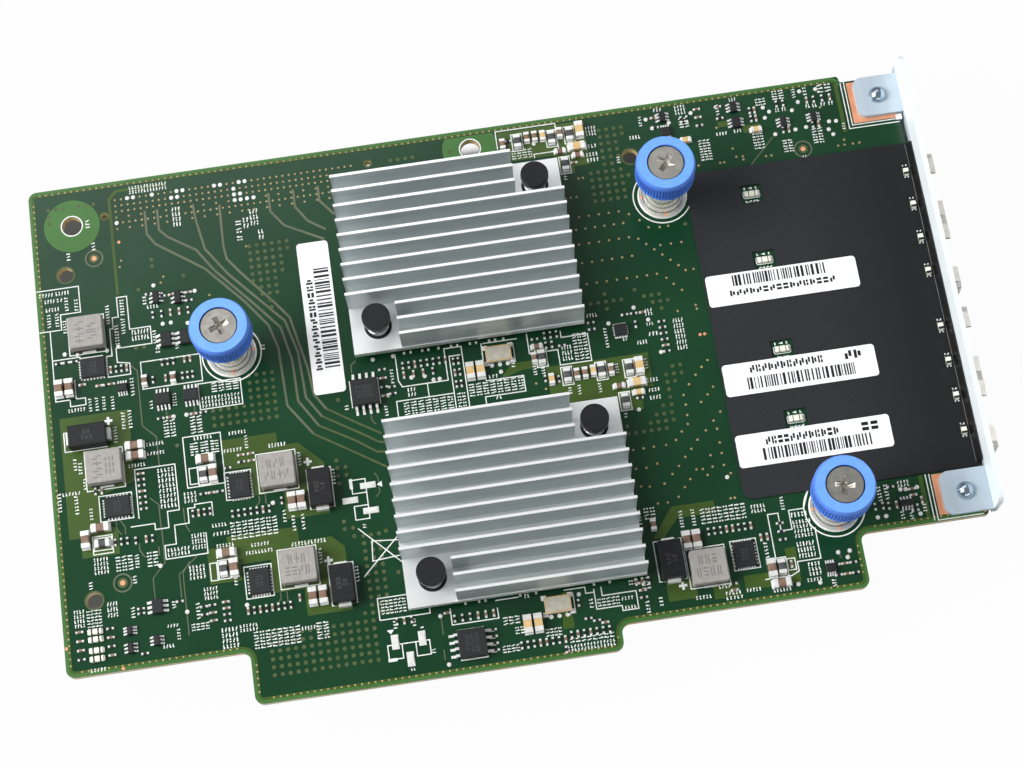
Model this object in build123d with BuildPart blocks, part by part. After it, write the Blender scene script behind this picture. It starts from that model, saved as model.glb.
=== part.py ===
"""Mezzanine network card: four plug-in ports, two heatsinks and three captive thumbscrews.

Millimetres. Places on the card are measured from the board's left edge and from its lowest edge,
heights from the board's top face. +X runs to the faceplate, +Z is up, and the origin is the middle
of the card's outline on the plane that it rests on.
"""
import os

from build123d import *

os.makedirs("parts", exist_ok=True)

# Circuit board and its stepped lower edge
board_length = 176.0
board_width = 109.4
board_thick = 1.6
left_cut_length = 34.5
left_cut_depth = 10.1
low_edge_length = 69.3
middle_cut_length = 47.4
middle_cut_depth = 4.8
right_cut_depth = 15.2
shelf_length = 10.6
shelf_depth = 1.4
board_corner = 1.7
shelf_corner = 0.6
big_hole_r = 1.9
align_hole_r = 1.55
pin_hole_r = 0.55

# Faceplate bracket
bracket_gap = 0.8
plate_thick = 1.0
plate_rise = 7.0
plate_low_end = 15.9
skirt_inset = 5.2
plate_corner = 2.6
tab_thick = 1.0
tab_reach = 9.0
tab_width = 8.5
tab_corner = 1.8
tab_setback = 0.1
rivet_inset = 4.5
rivet_shank_r = 1.2
rivet_head_r = 1.8
rivet_dome = 1.5
rivet_foot = 0.4
light_hole_r = 0.85
light_hole_height = 1.1

# Port cages under the board
port_pitch = 14.25
lower_cage_mid = 42.8
upper_cage_mid = 75.9
cage_wall = 0.4
cage_length = 48.7
cage_height = 9.8
cage_reach = 3.2
cage_slack = 0.4
side_finger_width = 2.6
side_finger_pitch = 4.3
lip_finger_width = 3.1
lip_finger_shift = 4.65
lip_notch_width = 6.2
lip_notch_depth = 2.4
finger_bulge = 0.75
finger_sheet = 0.2
finger_rise = 0.45
finger_fall = 0.65
vent_size = 1.8
vent_pitch = 3.6
vent_rows = 7
vent_columns = 3
vent_setback = 15.0

# Connectors under the board
rest_depth = 14.0
socket_length = 9.0
socket_width = 11.2
socket_height = 5.6
socket_slot = 1.6
socket_slot_width = 9.6
socket_slot_depth = 5.0
socket_setback = 1.5
plug_base_height = 6.0
plug_tongue_trim = 2.0
plug_tongue_share = 0.5

# Heatsinks, the chips under them and the push pins
sink_length = 45.0
sink_width = 35.0
sink_base = 1.5
fin_height = 7.7
fin_thick = 0.55
fin_pitch = 3.105
fin_count = 12
pocket_length = 9.3
pocket_fins = 3
chip_size = 25.0
chip_base = 1.2
lid_size = 20.0
lid_height = 0.8
pad_thick = 0.2
pin_span_x = 34.5
pin_span_y = 24.6
pin_shaft_r = 1.2
pin_slack = 0.2
pin_cap_r = 2.75
pin_cap_thick = 1.5
pin_cap_top = 9.3
barb_r = 1.9
barb_length = 2.2
barb_tip_r = 0.8
pin_wire_r = 0.22
pin_coil_r = 2.0
pin_coil_turns = 3

# Captive thumbscrews
knob_r = 5.8
knob_height = 5.3
knob_top = 16.5
knob_taper = 0.15
knob_bevel = 0.25
knob_bevel_height = 0.5
knob_cavity_r = 4.6
knob_cavity_depth = 1.8
knob_recess_r = 3.65
groove_count = 60
groove_r = 0.17
groove_lift = 0.35
groove_band = 3.8
head_r = 3.42
head_thick = 1.8
head_sink = 0.3
cross_length = 3.8
cross_width = 1.05
cross_depth = 1.2
shank_r = 1.35
thread_r = 1.75
thread_length = 3.5
thread_gap = 0.1
neck_thick = 1.0
neck_slack = 0.08
flange_r = 4.7
flange_thick = 0.8
collar_r = 4.0
collar_top = 2.0
barrel_r = 3.5
barrel_top = 6.5
barrel_bore_r = 2.6
stem_r = 3.2
spring_wire_r = 0.3
spring_coil_r = 1.95
spring_turns = 8
seat_gap = 0.05

# Insulating sheet and labels
sheet_thick = 0.35
sheet_length = 45.8
sheet_low = 24.8
sheet_high = 92.7
sheet_corner = 1.8
sheet_gap = 0.2
window_width = 4.4
window_height = 3.9
window_inset = 33.3
light_slot_length = 1.5
light_slot_width = 2.6
screw_relief = 0.5
label_thick = 0.12
label_corner = 0.7
sheet_label_length = 29.9
sheet_label_width = 6.5
sheet_label_inset = 30.7
board_label_length = 31.9
board_label_width = 6.25

# Lights, chips and passives on top of the board
light_inset = 2.1
light_pitch = 7.125
port_light = (1.0, 1.7, 1.1)
board_light = (2.5, 1.1, 0.7)
inductor_size = (6.8, 6.5, 3.0)
inductor_corner = 0.5
polymer_size = (7.3, 4.3, 2.8)
regulator_size = (4.9, 4.0, 0.9)
flash_size = (5.25, 5.25, 1.9)
oscillator_size = (5.0, 3.2, 0.8)
oscillator_lid = 0.3
lid_border = 0.3
large_capacitor = (1.5, 3.2, 1.3)
small_capacitor = (1.0, 2.0, 0.9)
bead_size = (1.3, 2.6, 1.1)
logic_height = 1.0
edge_break = 0.15

# Places that follow from the sizes above
low_edge_end = left_cut_length + low_edge_length
middle_cut_end = low_edge_end + middle_cut_length
plate_inner = board_length + bracket_gap
plate_outer = plate_inner + plate_thick
cage_front = plate_outer + cage_reach
cage_rear = cage_front - cage_length
cage_mid_x = cage_front - cage_length / 2
cage_width = 2 * port_pitch + cage_wall
port_width = port_pitch - cage_wall
port_height = cage_height - 2 * cage_wall
cage_floor = -board_thick - cage_height
cage_mids = [lower_cage_mid, upper_cage_mid]
port_places = [mid + side * port_pitch / 2 for mid in cage_mids for side in (-1, 1)]
socket_mid_x = cage_rear + socket_setback + socket_length / 2
overall_length = cage_front
chip_top = chip_base + lid_height
sink_floor = chip_top + pad_thick
fin_floor = sink_floor + sink_base
pocket_width = pocket_fins * fin_pitch
head_seat = knob_top - head_sink - head_thick
knob_foot = knob_top - knob_height
neck_floor = -board_thick
neck_top = neck_floor + neck_thick
thread_top = neck_floor - thread_gap
sheet_right = plate_inner - sheet_gap
sheet_left = sheet_right - sheet_length

# Places on the card, from the left and lower edges or from the edge that the piece follows
screw_places = {
    "left": (37.2, 69.3),
    "upper": (plate_inner - 50.9, board_width - 20.35),
    "lower": (plate_inner - 29.4, right_cut_depth + 5.8),
}
cross_angles = {"left": 20, "upper": 53, "lower": -12}
sink_places = {"upper": (83.7, board_width - 27.95), "lower": (87.5, 30.4)}
big_holes = [(8.25, board_width - 8.4), (89.4, board_width - 4.15)]
align_holes = [(6.2, board_width - 18.7), (6.4, left_cut_depth + 14.1), (121.0, board_width - 10.9)]
pin_holes = [(14.9, board_width - 7.3), (68.6, board_width - 4.15)]
light_places = [
    (plate_inner - light_inset, port + side * light_pitch / 2) for port in port_places for side in (-1, 1)
]
window_places = [(plate_inner - window_inset, port + light_pitch / 2) for port in port_places]
tab_mids = [plate_low_end + tab_width / 2, board_width - shelf_depth - tab_width / 2 - tab_setback]
rivet_places = [(plate_inner - rivet_inset, mid) for mid in tab_mids]
push_pin_places = [
    (x + side * pin_span_x / 2, y + side * pin_span_y / 2)
    for x, y in sink_places.values()
    for side in (-1, 1)
]
plugs = {
    "host_connector": (40.0, board_width - 7.4, 44.0, 7.4),
    "power_connector": (48.0, 8.6, 20.0, 6.4),
}
sheet_labels = {"upper": 67.2, "middle": 48.6, "lower": 34.2}
board_label_place = (55.4, 74.1)
inductors = [(9.6, 77.3), (10.8, 49.5), (43.6, 43.8), (45.5, 24.6), (121.7, 12.8)]
polymers = [(8.1, 56.3, 0), (51.3, 39.2, 90), (53.3, 20.0, 90), (115.0, 15.2, 90)]
regulators = [(10.1, 70.4, 0), (12.4, 41.7, 0), (36.0, 42.3, 90), (37.8, 23.1, 90), (128.9, 14.4, 90)]
flash_chips = [(62.1, 57.0), (75.9, 5.3)]
oscillators = [(88.8, 61.0), (92.7, 10.2)]
status_lights = [(6.1, left_cut_depth + step, 0) for step in (2.9, 4.5, 6.6, 8.1)]
large_capacitors = [
    (3.1, 67.0, 0), (5.1, 67.0, 0), (8.8, 38.0, 90), (5.8, 36.0, 0), (16.7, 53.3, 90), (16.7, 51.3, 90),
    (30.0, 48.6, 90), (31.2, 45.5, 0), (32.1, 29.5, 90), (33.3, 26.5, 0), (45.6, 37.7, 0), (47.4, 37.7, 0),
    (47.4, 18.7, 0), (49.4, 18.7, 0), (118.6, 18.7, 0), (120.5, 18.7, 0), (82.9, 58.3, 0), (84.9, 58.3, 0),
    (86.6, 7.3, 0), (88.6, 7.3, 0), (115.5, 54.4, 0), (114.5, 51.1, 90), (133.5, 11.0, 0), (134.8, 7.9, 90),
    (111.7, board_width - 3.7, 0), (110.7, board_width - 7.3, 90),
]
small_capacitors = [
    (98.3, 54.3, 0), (103.3, 54.6, 0), (104.9, 54.6, 0), (106.5, 54.8, 0), (110.0, 54.5, 0),
    (114.5, 49.1, 90), (111.0, 50.9, 90), (96.4, 61.3, 90), (95.6, 59.1, 0), (112.9, 22.7, 0),
    (19.8, 66.2, 0), (25.4, 66.0, 0), (96.0, board_width - 4.4, 0), (101.0, board_width - 3.7, 0),
    (102.6, board_width - 3.7, 0), (104.2, board_width - 3.8, 0), (107.7, board_width - 3.7, 0),
    (107.2, board_width - 7.7, 90), (110.6, board_width - 9.1, 90), (132.5, board_width - 9.3, 90),
    (146.9, board_width - 9.2, 90),
]
beads = [
    (101.4, 54.6, 0), (108.1, 54.6, 0), (113.5, 54.3, 0), (111.7, 47.8, 0), (29.3, 45.5, 0), (31.3, 26.5, 0),
    (135.4, 11.0, 0), (8.9, 34.9, 90), (97.0, 59.0, 0), (99.0, board_width - 4.3, 0),
    (105.9, board_width - 4.5, 0), (109.6, board_width - 4.3, 0), (107.8, board_width - 10.7, 0),
]
logic_chips = [
    (23.0, 61.9, 2.9, 2.4), (28.5, 61.9, 2.9, 2.4), (24.8, 74.0, 2.1, 3.0), (28.6, 74.0, 2.1, 3.0),
    (23.6, 83.1, 1.2, 2.4), (27.9, 82.5, 1.3, 2.6), (15.4, 65.4, 2.0, 1.6), (18.2, 21.2, 2.0, 2.8),
    (12.6, 17.4, 1.0, 1.7), (12.5, 14.1, 1.0, 2.1), (17.5, 14.8, 1.1, 2.0), (113.1, 62.2, 2.5, 2.3),
    (128.7, board_width - 3.5, 1.2, 2.1), (128.9, board_width - 6.9, 1.9, 1.9),
    (143.2, board_width - 3.6, 1.3, 2.1), (143.2, board_width - 7.0, 1.7, 2.1),
    (152.6, board_width - 8.4, 1.2, 2.1), (158.8, board_width - 8.2, 1.2, 2.0),
    (144.4, 9.4, 1.8, 1.6), (161.0, right_cut_depth + 4.4, 2.4, 1.2),
]


def level(height):
    """Horizontal plane at a height over the board's top face, with card places as its coordinates."""
    return Plane((-overall_length / 2, -board_width / 2, rest_depth + height))


def upright(x, y):
    """Vertical plane through a place on the card: right is +X, up is the height over the board."""
    return Plane((x - overall_length / 2, y - board_width / 2, rest_depth), x_dir=(1, 0, 0), z_dir=(0, -1, 0))


def facing(x):
    """Plane across the card at x, seen from the faceplate: right is +Y, up is the height."""
    return Plane((x - overall_length / 2, -board_width / 2, rest_depth), x_dir=(0, 1, 0), z_dir=(1, 0, 0))


def vertical(x, y):
    """Upright axis through a place on the card."""
    return Axis((x - overall_length / 2, y - board_width / 2, 0), (0, 0, 1))


def keep(piece, name):
    """Label a finished piece and write it."""
    piece.part.label = name
    export_step(piece.part, f"parts/{name}.step")


def build_board():
    """Board with its stepped outline and every hole that something passes through."""
    outline = [
        (0, left_cut_depth),
        (left_cut_length, left_cut_depth),
        (left_cut_length, 0),
        (low_edge_end, 0),
        (low_edge_end, middle_cut_depth),
        (middle_cut_end, middle_cut_depth),
        (middle_cut_end, right_cut_depth),
        (board_length, right_cut_depth),
        (board_length, board_width - shelf_depth),
        (board_length - shelf_length, board_width - shelf_depth),
        (board_length - shelf_length, board_width),
        (0, board_width),
    ]
    shelf = (shelf_corner,) * 4
    radii = [board_corner] * (len(outline) - len(shelf) - 1) + list(shelf) + [board_corner]
    with BuildPart() as board:
        with BuildSketch(level(-board_thick)):
            with BuildLine():
                FilletPolyline(*outline, radius=radii, close=True)
            make_face()
            with Locations(*big_holes):
                Circle(big_hole_r, mode=Mode.SUBTRACT)
            with Locations(*align_holes):
                Circle(align_hole_r, mode=Mode.SUBTRACT)
            with Locations(*pin_holes):
                Circle(pin_hole_r, mode=Mode.SUBTRACT)
            with Locations(*screw_places.values()):
                Circle(stem_r, mode=Mode.SUBTRACT)
            with Locations(*push_pin_places):
                Circle(pin_shaft_r + pin_slack, mode=Mode.SUBTRACT)
            with Locations(*rivet_places):
                Circle(rivet_shank_r, mode=Mode.SUBTRACT)
        extrude(amount=board_thick)
    keep(board, "circuit_board")


def build_bracket():
    """Folded faceplate: a plate with port windows and light holes, and two tabs on the board."""
    plate_mid = (plate_low_end + board_width) / 2
    plate_width = board_width - plate_low_end
    window_mid = -board_thick - cage_height / 2
    with BuildPart() as bracket:
        with BuildSketch(facing(plate_inner)) as face:
            with Locations((plate_mid, (plate_rise - board_thick) / 2)):
                Rectangle(plate_width, plate_rise + board_thick)
            fillet(face.vertices().group_by(Axis.Y)[-1], plate_corner)
            with Locations((plate_mid, (plate_rise - rest_depth) / 2)):
                Rectangle(plate_width - 2 * skirt_inset, plate_rise + rest_depth)
            with Locations(*[(mid, window_mid) for mid in cage_mids]):
                Rectangle(cage_width + 2 * cage_slack, cage_height + 2 * cage_slack, mode=Mode.SUBTRACT)
            with Locations(*[(y, light_hole_height) for x, y in light_places]):
                Circle(light_hole_r, mode=Mode.SUBTRACT)
        extrude(amount=plate_thick)
        with BuildSketch(level(0)) as tabs:
            with Locations(*[(plate_inner - tab_reach / 2, mid) for mid in tab_mids]):
                Rectangle(tab_reach, tab_width)
            fillet(tabs.vertices().group_by(Axis.X)[0], tab_corner)
            with Locations(*[(plate_inner, mid) for mid in tab_mids]):
                Rectangle(plate_thick, tab_width)
            with Locations(*rivet_places):
                Circle(rivet_shank_r, mode=Mode.SUBTRACT)
        extrude(amount=tab_thick)
    keep(bracket, "faceplate_bracket")


def build_turned(name, places, profile):
    """A turned piece, or several alike, from its half section of radius and height."""
    with BuildPart() as turned:
        for x, y in places:
            with BuildSketch(upright(x, y)):
                with BuildLine():
                    Polyline(*profile, close=True)
                make_face()
            revolve(axis=vertical(x, y))
    keep(turned, name)


def build_rivets():
    """Domed rivets that hold the bracket's tabs on the board."""
    foot = -board_thick - rivet_foot
    with BuildPart() as rivets:
        for x, y in rivet_places:
            with BuildSketch(upright(x, y)):
                with BuildLine():
                    Polyline(
                        (0, tab_thick + rivet_dome),
                        (0, foot),
                        (rivet_head_r, foot),
                        (rivet_head_r, -board_thick),
                        (rivet_shank_r, -board_thick),
                        (rivet_shank_r, tab_thick),
                        (rivet_head_r, tab_thick),
                    )
                    TangentArc((0, tab_thick + rivet_dome), (rivet_head_r, tab_thick), tangent=(1, 0))
                make_face()
            revolve(axis=vertical(x, y))
    keep(rivets, "bracket_rivets")


def build_cage(name, mid):
    """Sheet metal cage for two plug-in modules, open in front and over the sockets behind."""
    ports = [mid - port_pitch / 2, mid + port_pitch / 2]
    bow = [
        (0, -cage_wall),
        (0, finger_sheet),
        (-finger_rise * cage_reach, finger_bulge),
        (-finger_fall * cage_reach, finger_bulge),
        (-cage_reach, 2 * finger_sheet),
        (-cage_reach, finger_sheet),
        (-finger_fall * cage_reach, finger_bulge - finger_sheet),
        (-finger_rise * cage_reach, finger_bulge - finger_sheet),
        (-2 * finger_sheet, 0),
        (-2 * finger_sheet, -cage_wall),
    ]
    with BuildPart() as cage:
        with BuildSketch(level(cage_floor)):
            with Locations((cage_mid_x, mid)):
                Rectangle(cage_length, cage_width)
        extrude(amount=cage_height)
        with BuildSketch(facing(cage_rear + cage_wall)):
            with Locations(*[(port, cage_floor + cage_height / 2) for port in ports]):
                Rectangle(port_width, port_height)
        extrude(amount=cage_length, mode=Mode.SUBTRACT)
        with BuildSketch(level(-board_thick - cage_wall)):
            with Locations(*[(socket_mid_x, port) for port in ports]):
                Rectangle(socket_length + 2 * cage_slack, socket_width + 2 * cage_slack)
        extrude(amount=cage_wall, mode=Mode.SUBTRACT)
        with BuildSketch(level(cage_floor)):
            with Locations(*[(cage_front - vent_setback, port) for port in ports]):
                with GridLocations(vent_pitch, vent_pitch, vent_rows, vent_columns):
                    Rectangle(vent_size, vent_size)
        extrude(amount=cage_wall, mode=Mode.SUBTRACT)
        with BuildSketch(level(cage_floor)):
            with Locations(*[(cage_front - lip_notch_depth / 2, port) for port in ports]):
                Rectangle(lip_notch_depth, lip_notch_width)
        extrude(amount=cage_height, mode=Mode.SUBTRACT)
        for port in ports:
            for step in (-lip_finger_shift, lip_finger_shift):
                for face, side in ((-board_thick, 1), (cage_floor, -1)):
                    with BuildSketch(upright(cage_front, port + step)):
                        with BuildLine():
                            Polyline(*[(x, face + side * out) for x, out in bow], close=True)
                        make_face()
                    extrude(amount=lip_finger_width / 2, both=True)
        for step in (-side_finger_pitch / 2, side_finger_pitch / 2):
            for side in (-1, 1):
                edge = mid + side * cage_width / 2
                with BuildSketch(level(cage_floor + cage_height / 2 + step)):
                    with BuildLine():
                        Polyline(*[(cage_front + x, edge + side * out) for x, out in bow], close=True)
                    make_face()
                extrude(amount=side_finger_width / 2, both=True)
    keep(cage, name)


def build_socket(name, port):
    """Card-edge socket at the back of one port, its slot facing the mouth."""
    with BuildPart() as socket:
        with BuildSketch(level(-board_thick - socket_height)):
            with Locations((socket_mid_x, port)):
                Rectangle(socket_length, socket_width)
        extrude(amount=socket_height)
        with BuildSketch(facing(socket_mid_x + socket_length / 2)):
            with Locations((port, -board_thick - socket_height / 2)):
                Rectangle(socket_slot_width, socket_slot)
        extrude(amount=-socket_slot_depth, mode=Mode.SUBTRACT)
    keep(socket, name)


def build_plug(name, x, y, length, width):
    """Board-to-board plug: a base on the board's underside and a tongue that the card rests on."""
    plug_height = rest_depth - board_thick
    with BuildPart() as plug:
        with BuildSketch(level(-board_thick - plug_base_height)):
            with Locations((x, y)):
                Rectangle(length, width)
        extrude(amount=plug_base_height)
        with BuildSketch(level(-rest_depth)):
            with Locations((x, y)):
                Rectangle(length - plug_tongue_trim, width * plug_tongue_share)
        extrude(amount=plug_height - plug_base_height)
    keep(plug, name)


def build_heatsink(name, x, y):
    """Finned heatsink with two corner pockets, down to its base, for the push pins."""
    pocket_x = (sink_length - pocket_length) / 2
    pocket_y = (sink_width - pocket_width) / 2
    with BuildPart() as sink:
        with BuildSketch(level(sink_floor)):
            with Locations((x, y)):
                Rectangle(sink_length, sink_width)
                with Locations((pin_span_x / 2, pin_span_y / 2), (-pin_span_x / 2, -pin_span_y / 2)):
                    Circle(pin_shaft_r + pin_slack, mode=Mode.SUBTRACT)
        extrude(amount=sink_base)
        with BuildSketch(level(fin_floor)):
            with Locations((x, y)):
                with GridLocations(0, fin_pitch, 1, fin_count):
                    Rectangle(sink_length, fin_thick)
                with Locations((pocket_x, pocket_y), (-pocket_x, -pocket_y)):
                    Rectangle(pocket_length, pocket_width, mode=Mode.SUBTRACT)
        extrude(amount=fin_height)
    keep(sink, name)


def build_network_chip(name, x, y):
    """Controller package: a square substrate with a smaller lid."""
    with BuildPart() as chip:
        with BuildSketch(level(0)):
            with Locations((x, y)):
                Rectangle(chip_size, chip_size)
        extrude(amount=chip_base)
        with BuildSketch(level(chip_base)):
            with Locations((x, y)):
                Rectangle(lid_size, lid_size)
        extrude(amount=lid_height)
    keep(chip, name)


def build_thermal_pad(name, x, y):
    """Thermal pad between a chip's lid and its heatsink."""
    with BuildPart() as pad:
        with BuildSketch(level(chip_top)):
            with Locations((x, y)):
                Rectangle(lid_size, lid_size)
        extrude(amount=pad_thick)
    keep(pad, name)


def build_coils(name, places, low, high, coil_r, wire_r, turns):
    """Round wire springs, one at each place, between two heights."""
    rise = high - low - 2 * wire_r
    with BuildPart() as coils:
        for x, y in places:
            with BuildLine(Plane(level(low + wire_r).from_local_coords((x, y, 0)))) as coil:
                Helix(pitch=rise / turns, height=rise, radius=coil_r)
            with BuildSketch(Plane(coil.line @ 0, z_dir=coil.line % 0)):
                Circle(wire_r)
            sweep(path=coil.line, is_frenet=True)
    keep(coils, name)


def build_knob(name, x, y):
    """Thumb knob: a grooved ring with a recess over and a cavity under the web that holds the screw."""
    web_floor = knob_foot + knob_cavity_depth
    section = [
        (barrel_bore_r, web_floor),
        (knob_cavity_r, web_floor),
        (knob_cavity_r, knob_foot),
        (knob_r, knob_foot),
        (knob_r, knob_foot + groove_lift + groove_band),
        (knob_r - knob_taper, knob_top - knob_bevel_height),
        (knob_r - knob_taper - knob_bevel, knob_top),
        (knob_recess_r, knob_top),
        (knob_recess_r, head_seat),
        (barrel_bore_r, head_seat),
    ]
    with BuildPart() as knob:
        with BuildSketch(upright(x, y)):
            with BuildLine():
                Polyline(*section, close=True)
            make_face()
        revolve(axis=vertical(x, y))
        with BuildSketch(level(knob_foot + groove_lift)):
            with Locations((x, y)):
                with PolarLocations(knob_r, groove_count):
                    Rectangle(2 * groove_r, 2 * groove_r, rotation=45)
        extrude(amount=groove_band, mode=Mode.SUBTRACT)
    keep(knob, name)


def build_screw(name, x, y, angle):
    """Captive screw: a cross-recessed head, a thin shank and a thicker threaded end."""
    head_top = head_seat + head_thick
    section = [
        (0, head_top),
        (0, thread_top - thread_length),
        (thread_r - edge_break, thread_top - thread_length),
        (thread_r, thread_top - thread_length + edge_break),
        (thread_r, thread_top),
        (shank_r, thread_top),
        (shank_r, head_seat),
        (head_r, head_seat),
        (head_r, head_top - edge_break),
        (head_r - edge_break, head_top),
    ]
    with BuildPart() as screw:
        with BuildSketch(upright(x, y)):
            with BuildLine():
                Polyline(*section, close=True)
            make_face()
        revolve(axis=vertical(x, y))
        with BuildSketch(level(head_top)):
            with Locations((x, y)):
                Rectangle(cross_length, cross_width, rotation=angle)
                Rectangle(cross_width, cross_length, rotation=angle)
        extrude(amount=-cross_depth, mode=Mode.SUBTRACT)
    keep(screw, name)


def build_thumbscrew(place, x, y):
    """One captive thumbscrew: ferrule in the board, spring, screw and knob."""
    ferrule = [
        (shank_r + neck_slack, neck_floor),
        (stem_r, neck_floor),
        (stem_r, 0),
        (flange_r, 0),
        (flange_r, flange_thick),
        (collar_r, flange_thick),
        (collar_r, collar_top),
        (barrel_r, collar_top),
        (barrel_r, barrel_top),
        (barrel_bore_r, barrel_top),
        (barrel_bore_r, neck_top),
        (shank_r + neck_slack, neck_top),
    ]
    build_turned(f"{place}_screw_ferrule", [(x, y)], ferrule)
    build_coils(
        f"{place}_screw_spring", [(x, y)], neck_top + seat_gap, head_seat - seat_gap,
        spring_coil_r, spring_wire_r, spring_turns,
    )
    build_screw(f"{place}_captive_screw", x, y, cross_angles[place])
    build_knob(f"{place}_thumb_knob", x, y)


def build_sheet():
    """Insulating sheet over the cage pins, with a window or slot at each light."""
    with BuildPart() as sheet:
        with BuildSketch(level(0)) as face:
            with Locations(((sheet_left + sheet_right) / 2, (sheet_low + sheet_high) / 2)):
                Rectangle(sheet_length, sheet_high - sheet_low)
            fillet(face.vertices().group_by(Axis.X)[0], sheet_corner)
            with Locations(*window_places):
                Rectangle(window_width, window_height, mode=Mode.SUBTRACT)
            with Locations(*light_places):
                Rectangle(light_slot_length, light_slot_width, mode=Mode.SUBTRACT)
            with Locations(screw_places["upper"], screw_places["lower"]):
                Circle(flange_r + screw_relief, mode=Mode.SUBTRACT)
        extrude(amount=sheet_thick)
    keep(sheet, "insulator_sheet")


def build_label(name, x, y, length, width, floor):
    """Paper label with rounded corners."""
    with BuildPart() as label:
        with BuildSketch(level(floor)):
            with Locations((x, y)):
                RectangleRounded(length, width, label_corner)
        extrude(amount=label_thick)
    keep(label, name)


def build_blocks(name, places, size, top_break):
    """Rectangular packages on the board, each a place and a turn, with their top edges broken."""
    length, width, height = size
    with BuildPart() as blocks:
        for x, y, turn in places:
            with BuildSketch(level(0)):
                with Locations((x, y)):
                    Rectangle(length, width, rotation=turn)
            extrude(amount=height)
        chamfer(blocks.faces().group_by(Axis.Z)[-1].edges(), top_break)
    keep(blocks, name)


def build_inductor(name, x, y):
    """Moulded power inductor with rounded corners."""
    length, width, height = inductor_size
    with BuildPart() as inductor:
        with BuildSketch(level(0)):
            with Locations((x, y)):
                RectangleRounded(length, width, inductor_corner)
        extrude(amount=height)
        chamfer(inductor.faces().sort_by(Axis.Z)[-1].edges(), edge_break)
    keep(inductor, name)


def build_oscillator(name, x, y):
    """Crystal oscillator: a ceramic base with a metal lid set in from its rim."""
    length, width, height = oscillator_size
    with BuildPart() as oscillator:
        with BuildSketch(level(0)):
            with Locations((x, y)):
                Rectangle(length, width)
        extrude(amount=height)
        with BuildSketch(level(height)):
            with Locations((x, y)):
                RectangleRounded(length - 2 * lid_border, width - 2 * lid_border, lid_border)
        extrude(amount=oscillator_lid)
    keep(oscillator, name)


def build_logic_chips():
    """Small logic and sensor packages of several sizes."""
    with BuildPart() as chips:
        for x, y, length, width in logic_chips:
            with BuildSketch(level(0)):
                with Locations((x, y)):
                    Rectangle(length, width)
            extrude(amount=logic_height)
        chamfer(chips.faces().group_by(Axis.Z)[-1].edges(), edge_break)
    keep(chips, "logic_chips")


build_board()
build_bracket()
build_rivets()

for side, mid in (("lower", lower_cage_mid), ("upper", upper_cage_mid)):
    build_cage(f"{side}_port_cage", mid)
for number, port in enumerate(port_places, 1):
    build_socket(f"port_socket_{number}", port)
for name, (x, y, length, width) in plugs.items():
    build_plug(name, x, y, length, width)

for side, (x, y) in sink_places.items():
    build_heatsink(f"{side}_heatsink", x, y)
    build_network_chip(f"{side}_network_chip", x, y)
    build_thermal_pad(f"{side}_thermal_pad", x, y)

push_pin = [
    (0, pin_cap_top),
    (0, -board_thick - barb_length),
    (barb_tip_r, -board_thick - barb_length),
    (barb_r, -board_thick),
    (pin_shaft_r, -board_thick),
    (pin_shaft_r, pin_cap_top - pin_cap_thick),
    (pin_cap_r, pin_cap_top - pin_cap_thick),
    (pin_cap_r, pin_cap_top - edge_break),
    (pin_cap_r - edge_break, pin_cap_top),
]
build_turned("heatsink_push_pins", push_pin_places, push_pin)
build_coils(
    "push_pin_springs", push_pin_places, fin_floor, pin_cap_top - pin_cap_thick,
    pin_coil_r, pin_wire_r, pin_coil_turns,
)

for place, (x, y) in screw_places.items():
    build_thumbscrew(place, x, y)

build_sheet()
for side, y in sheet_labels.items():
    x = plate_inner - sheet_label_inset
    build_label(f"{side}_sheet_label", x, y, sheet_label_length, sheet_label_width, sheet_thick)
x, y = board_label_place
build_label("board_label", x, y, board_label_width, board_label_length, 0)

port_lights = [(x, y, 0) for x, y in light_places]
window_lights = [(x, y, 0) for x, y in window_places]
build_blocks("port_lights", port_lights, port_light, edge_break)
build_blocks("board_lights", window_lights + status_lights, board_light, edge_break)

for number, (x, y) in enumerate(inductors, 1):
    build_inductor(f"power_inductor_{number}", x, y)
for number, place in enumerate(polymers, 1):
    build_blocks(f"polymer_capacitor_{number}", [place], polymer_size, edge_break)
for number, place in enumerate(regulators, 1):
    build_blocks(f"regulator_chip_{number}", [place], regulator_size, edge_break)
for number, (x, y) in enumerate(flash_chips, 1):
    build_blocks(f"flash_chip_{number}", [(x, y, 0)], flash_size, edge_break)
for number, (x, y) in enumerate(oscillators, 1):
    build_oscillator(f"oscillator_{number}", x, y)
build_blocks("large_capacitors", large_capacitors, large_capacitor, edge_break)
build_blocks("small_capacitors", small_capacitors, small_capacitor, edge_break)
build_blocks("ferrite_beads", beads, bead_size, edge_break)
build_logic_chips()
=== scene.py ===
"""Mezzanine network card: finishes, fine board detail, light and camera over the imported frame."""

import math
import random

import bpy
from mathutils import Matrix, Vector


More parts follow.
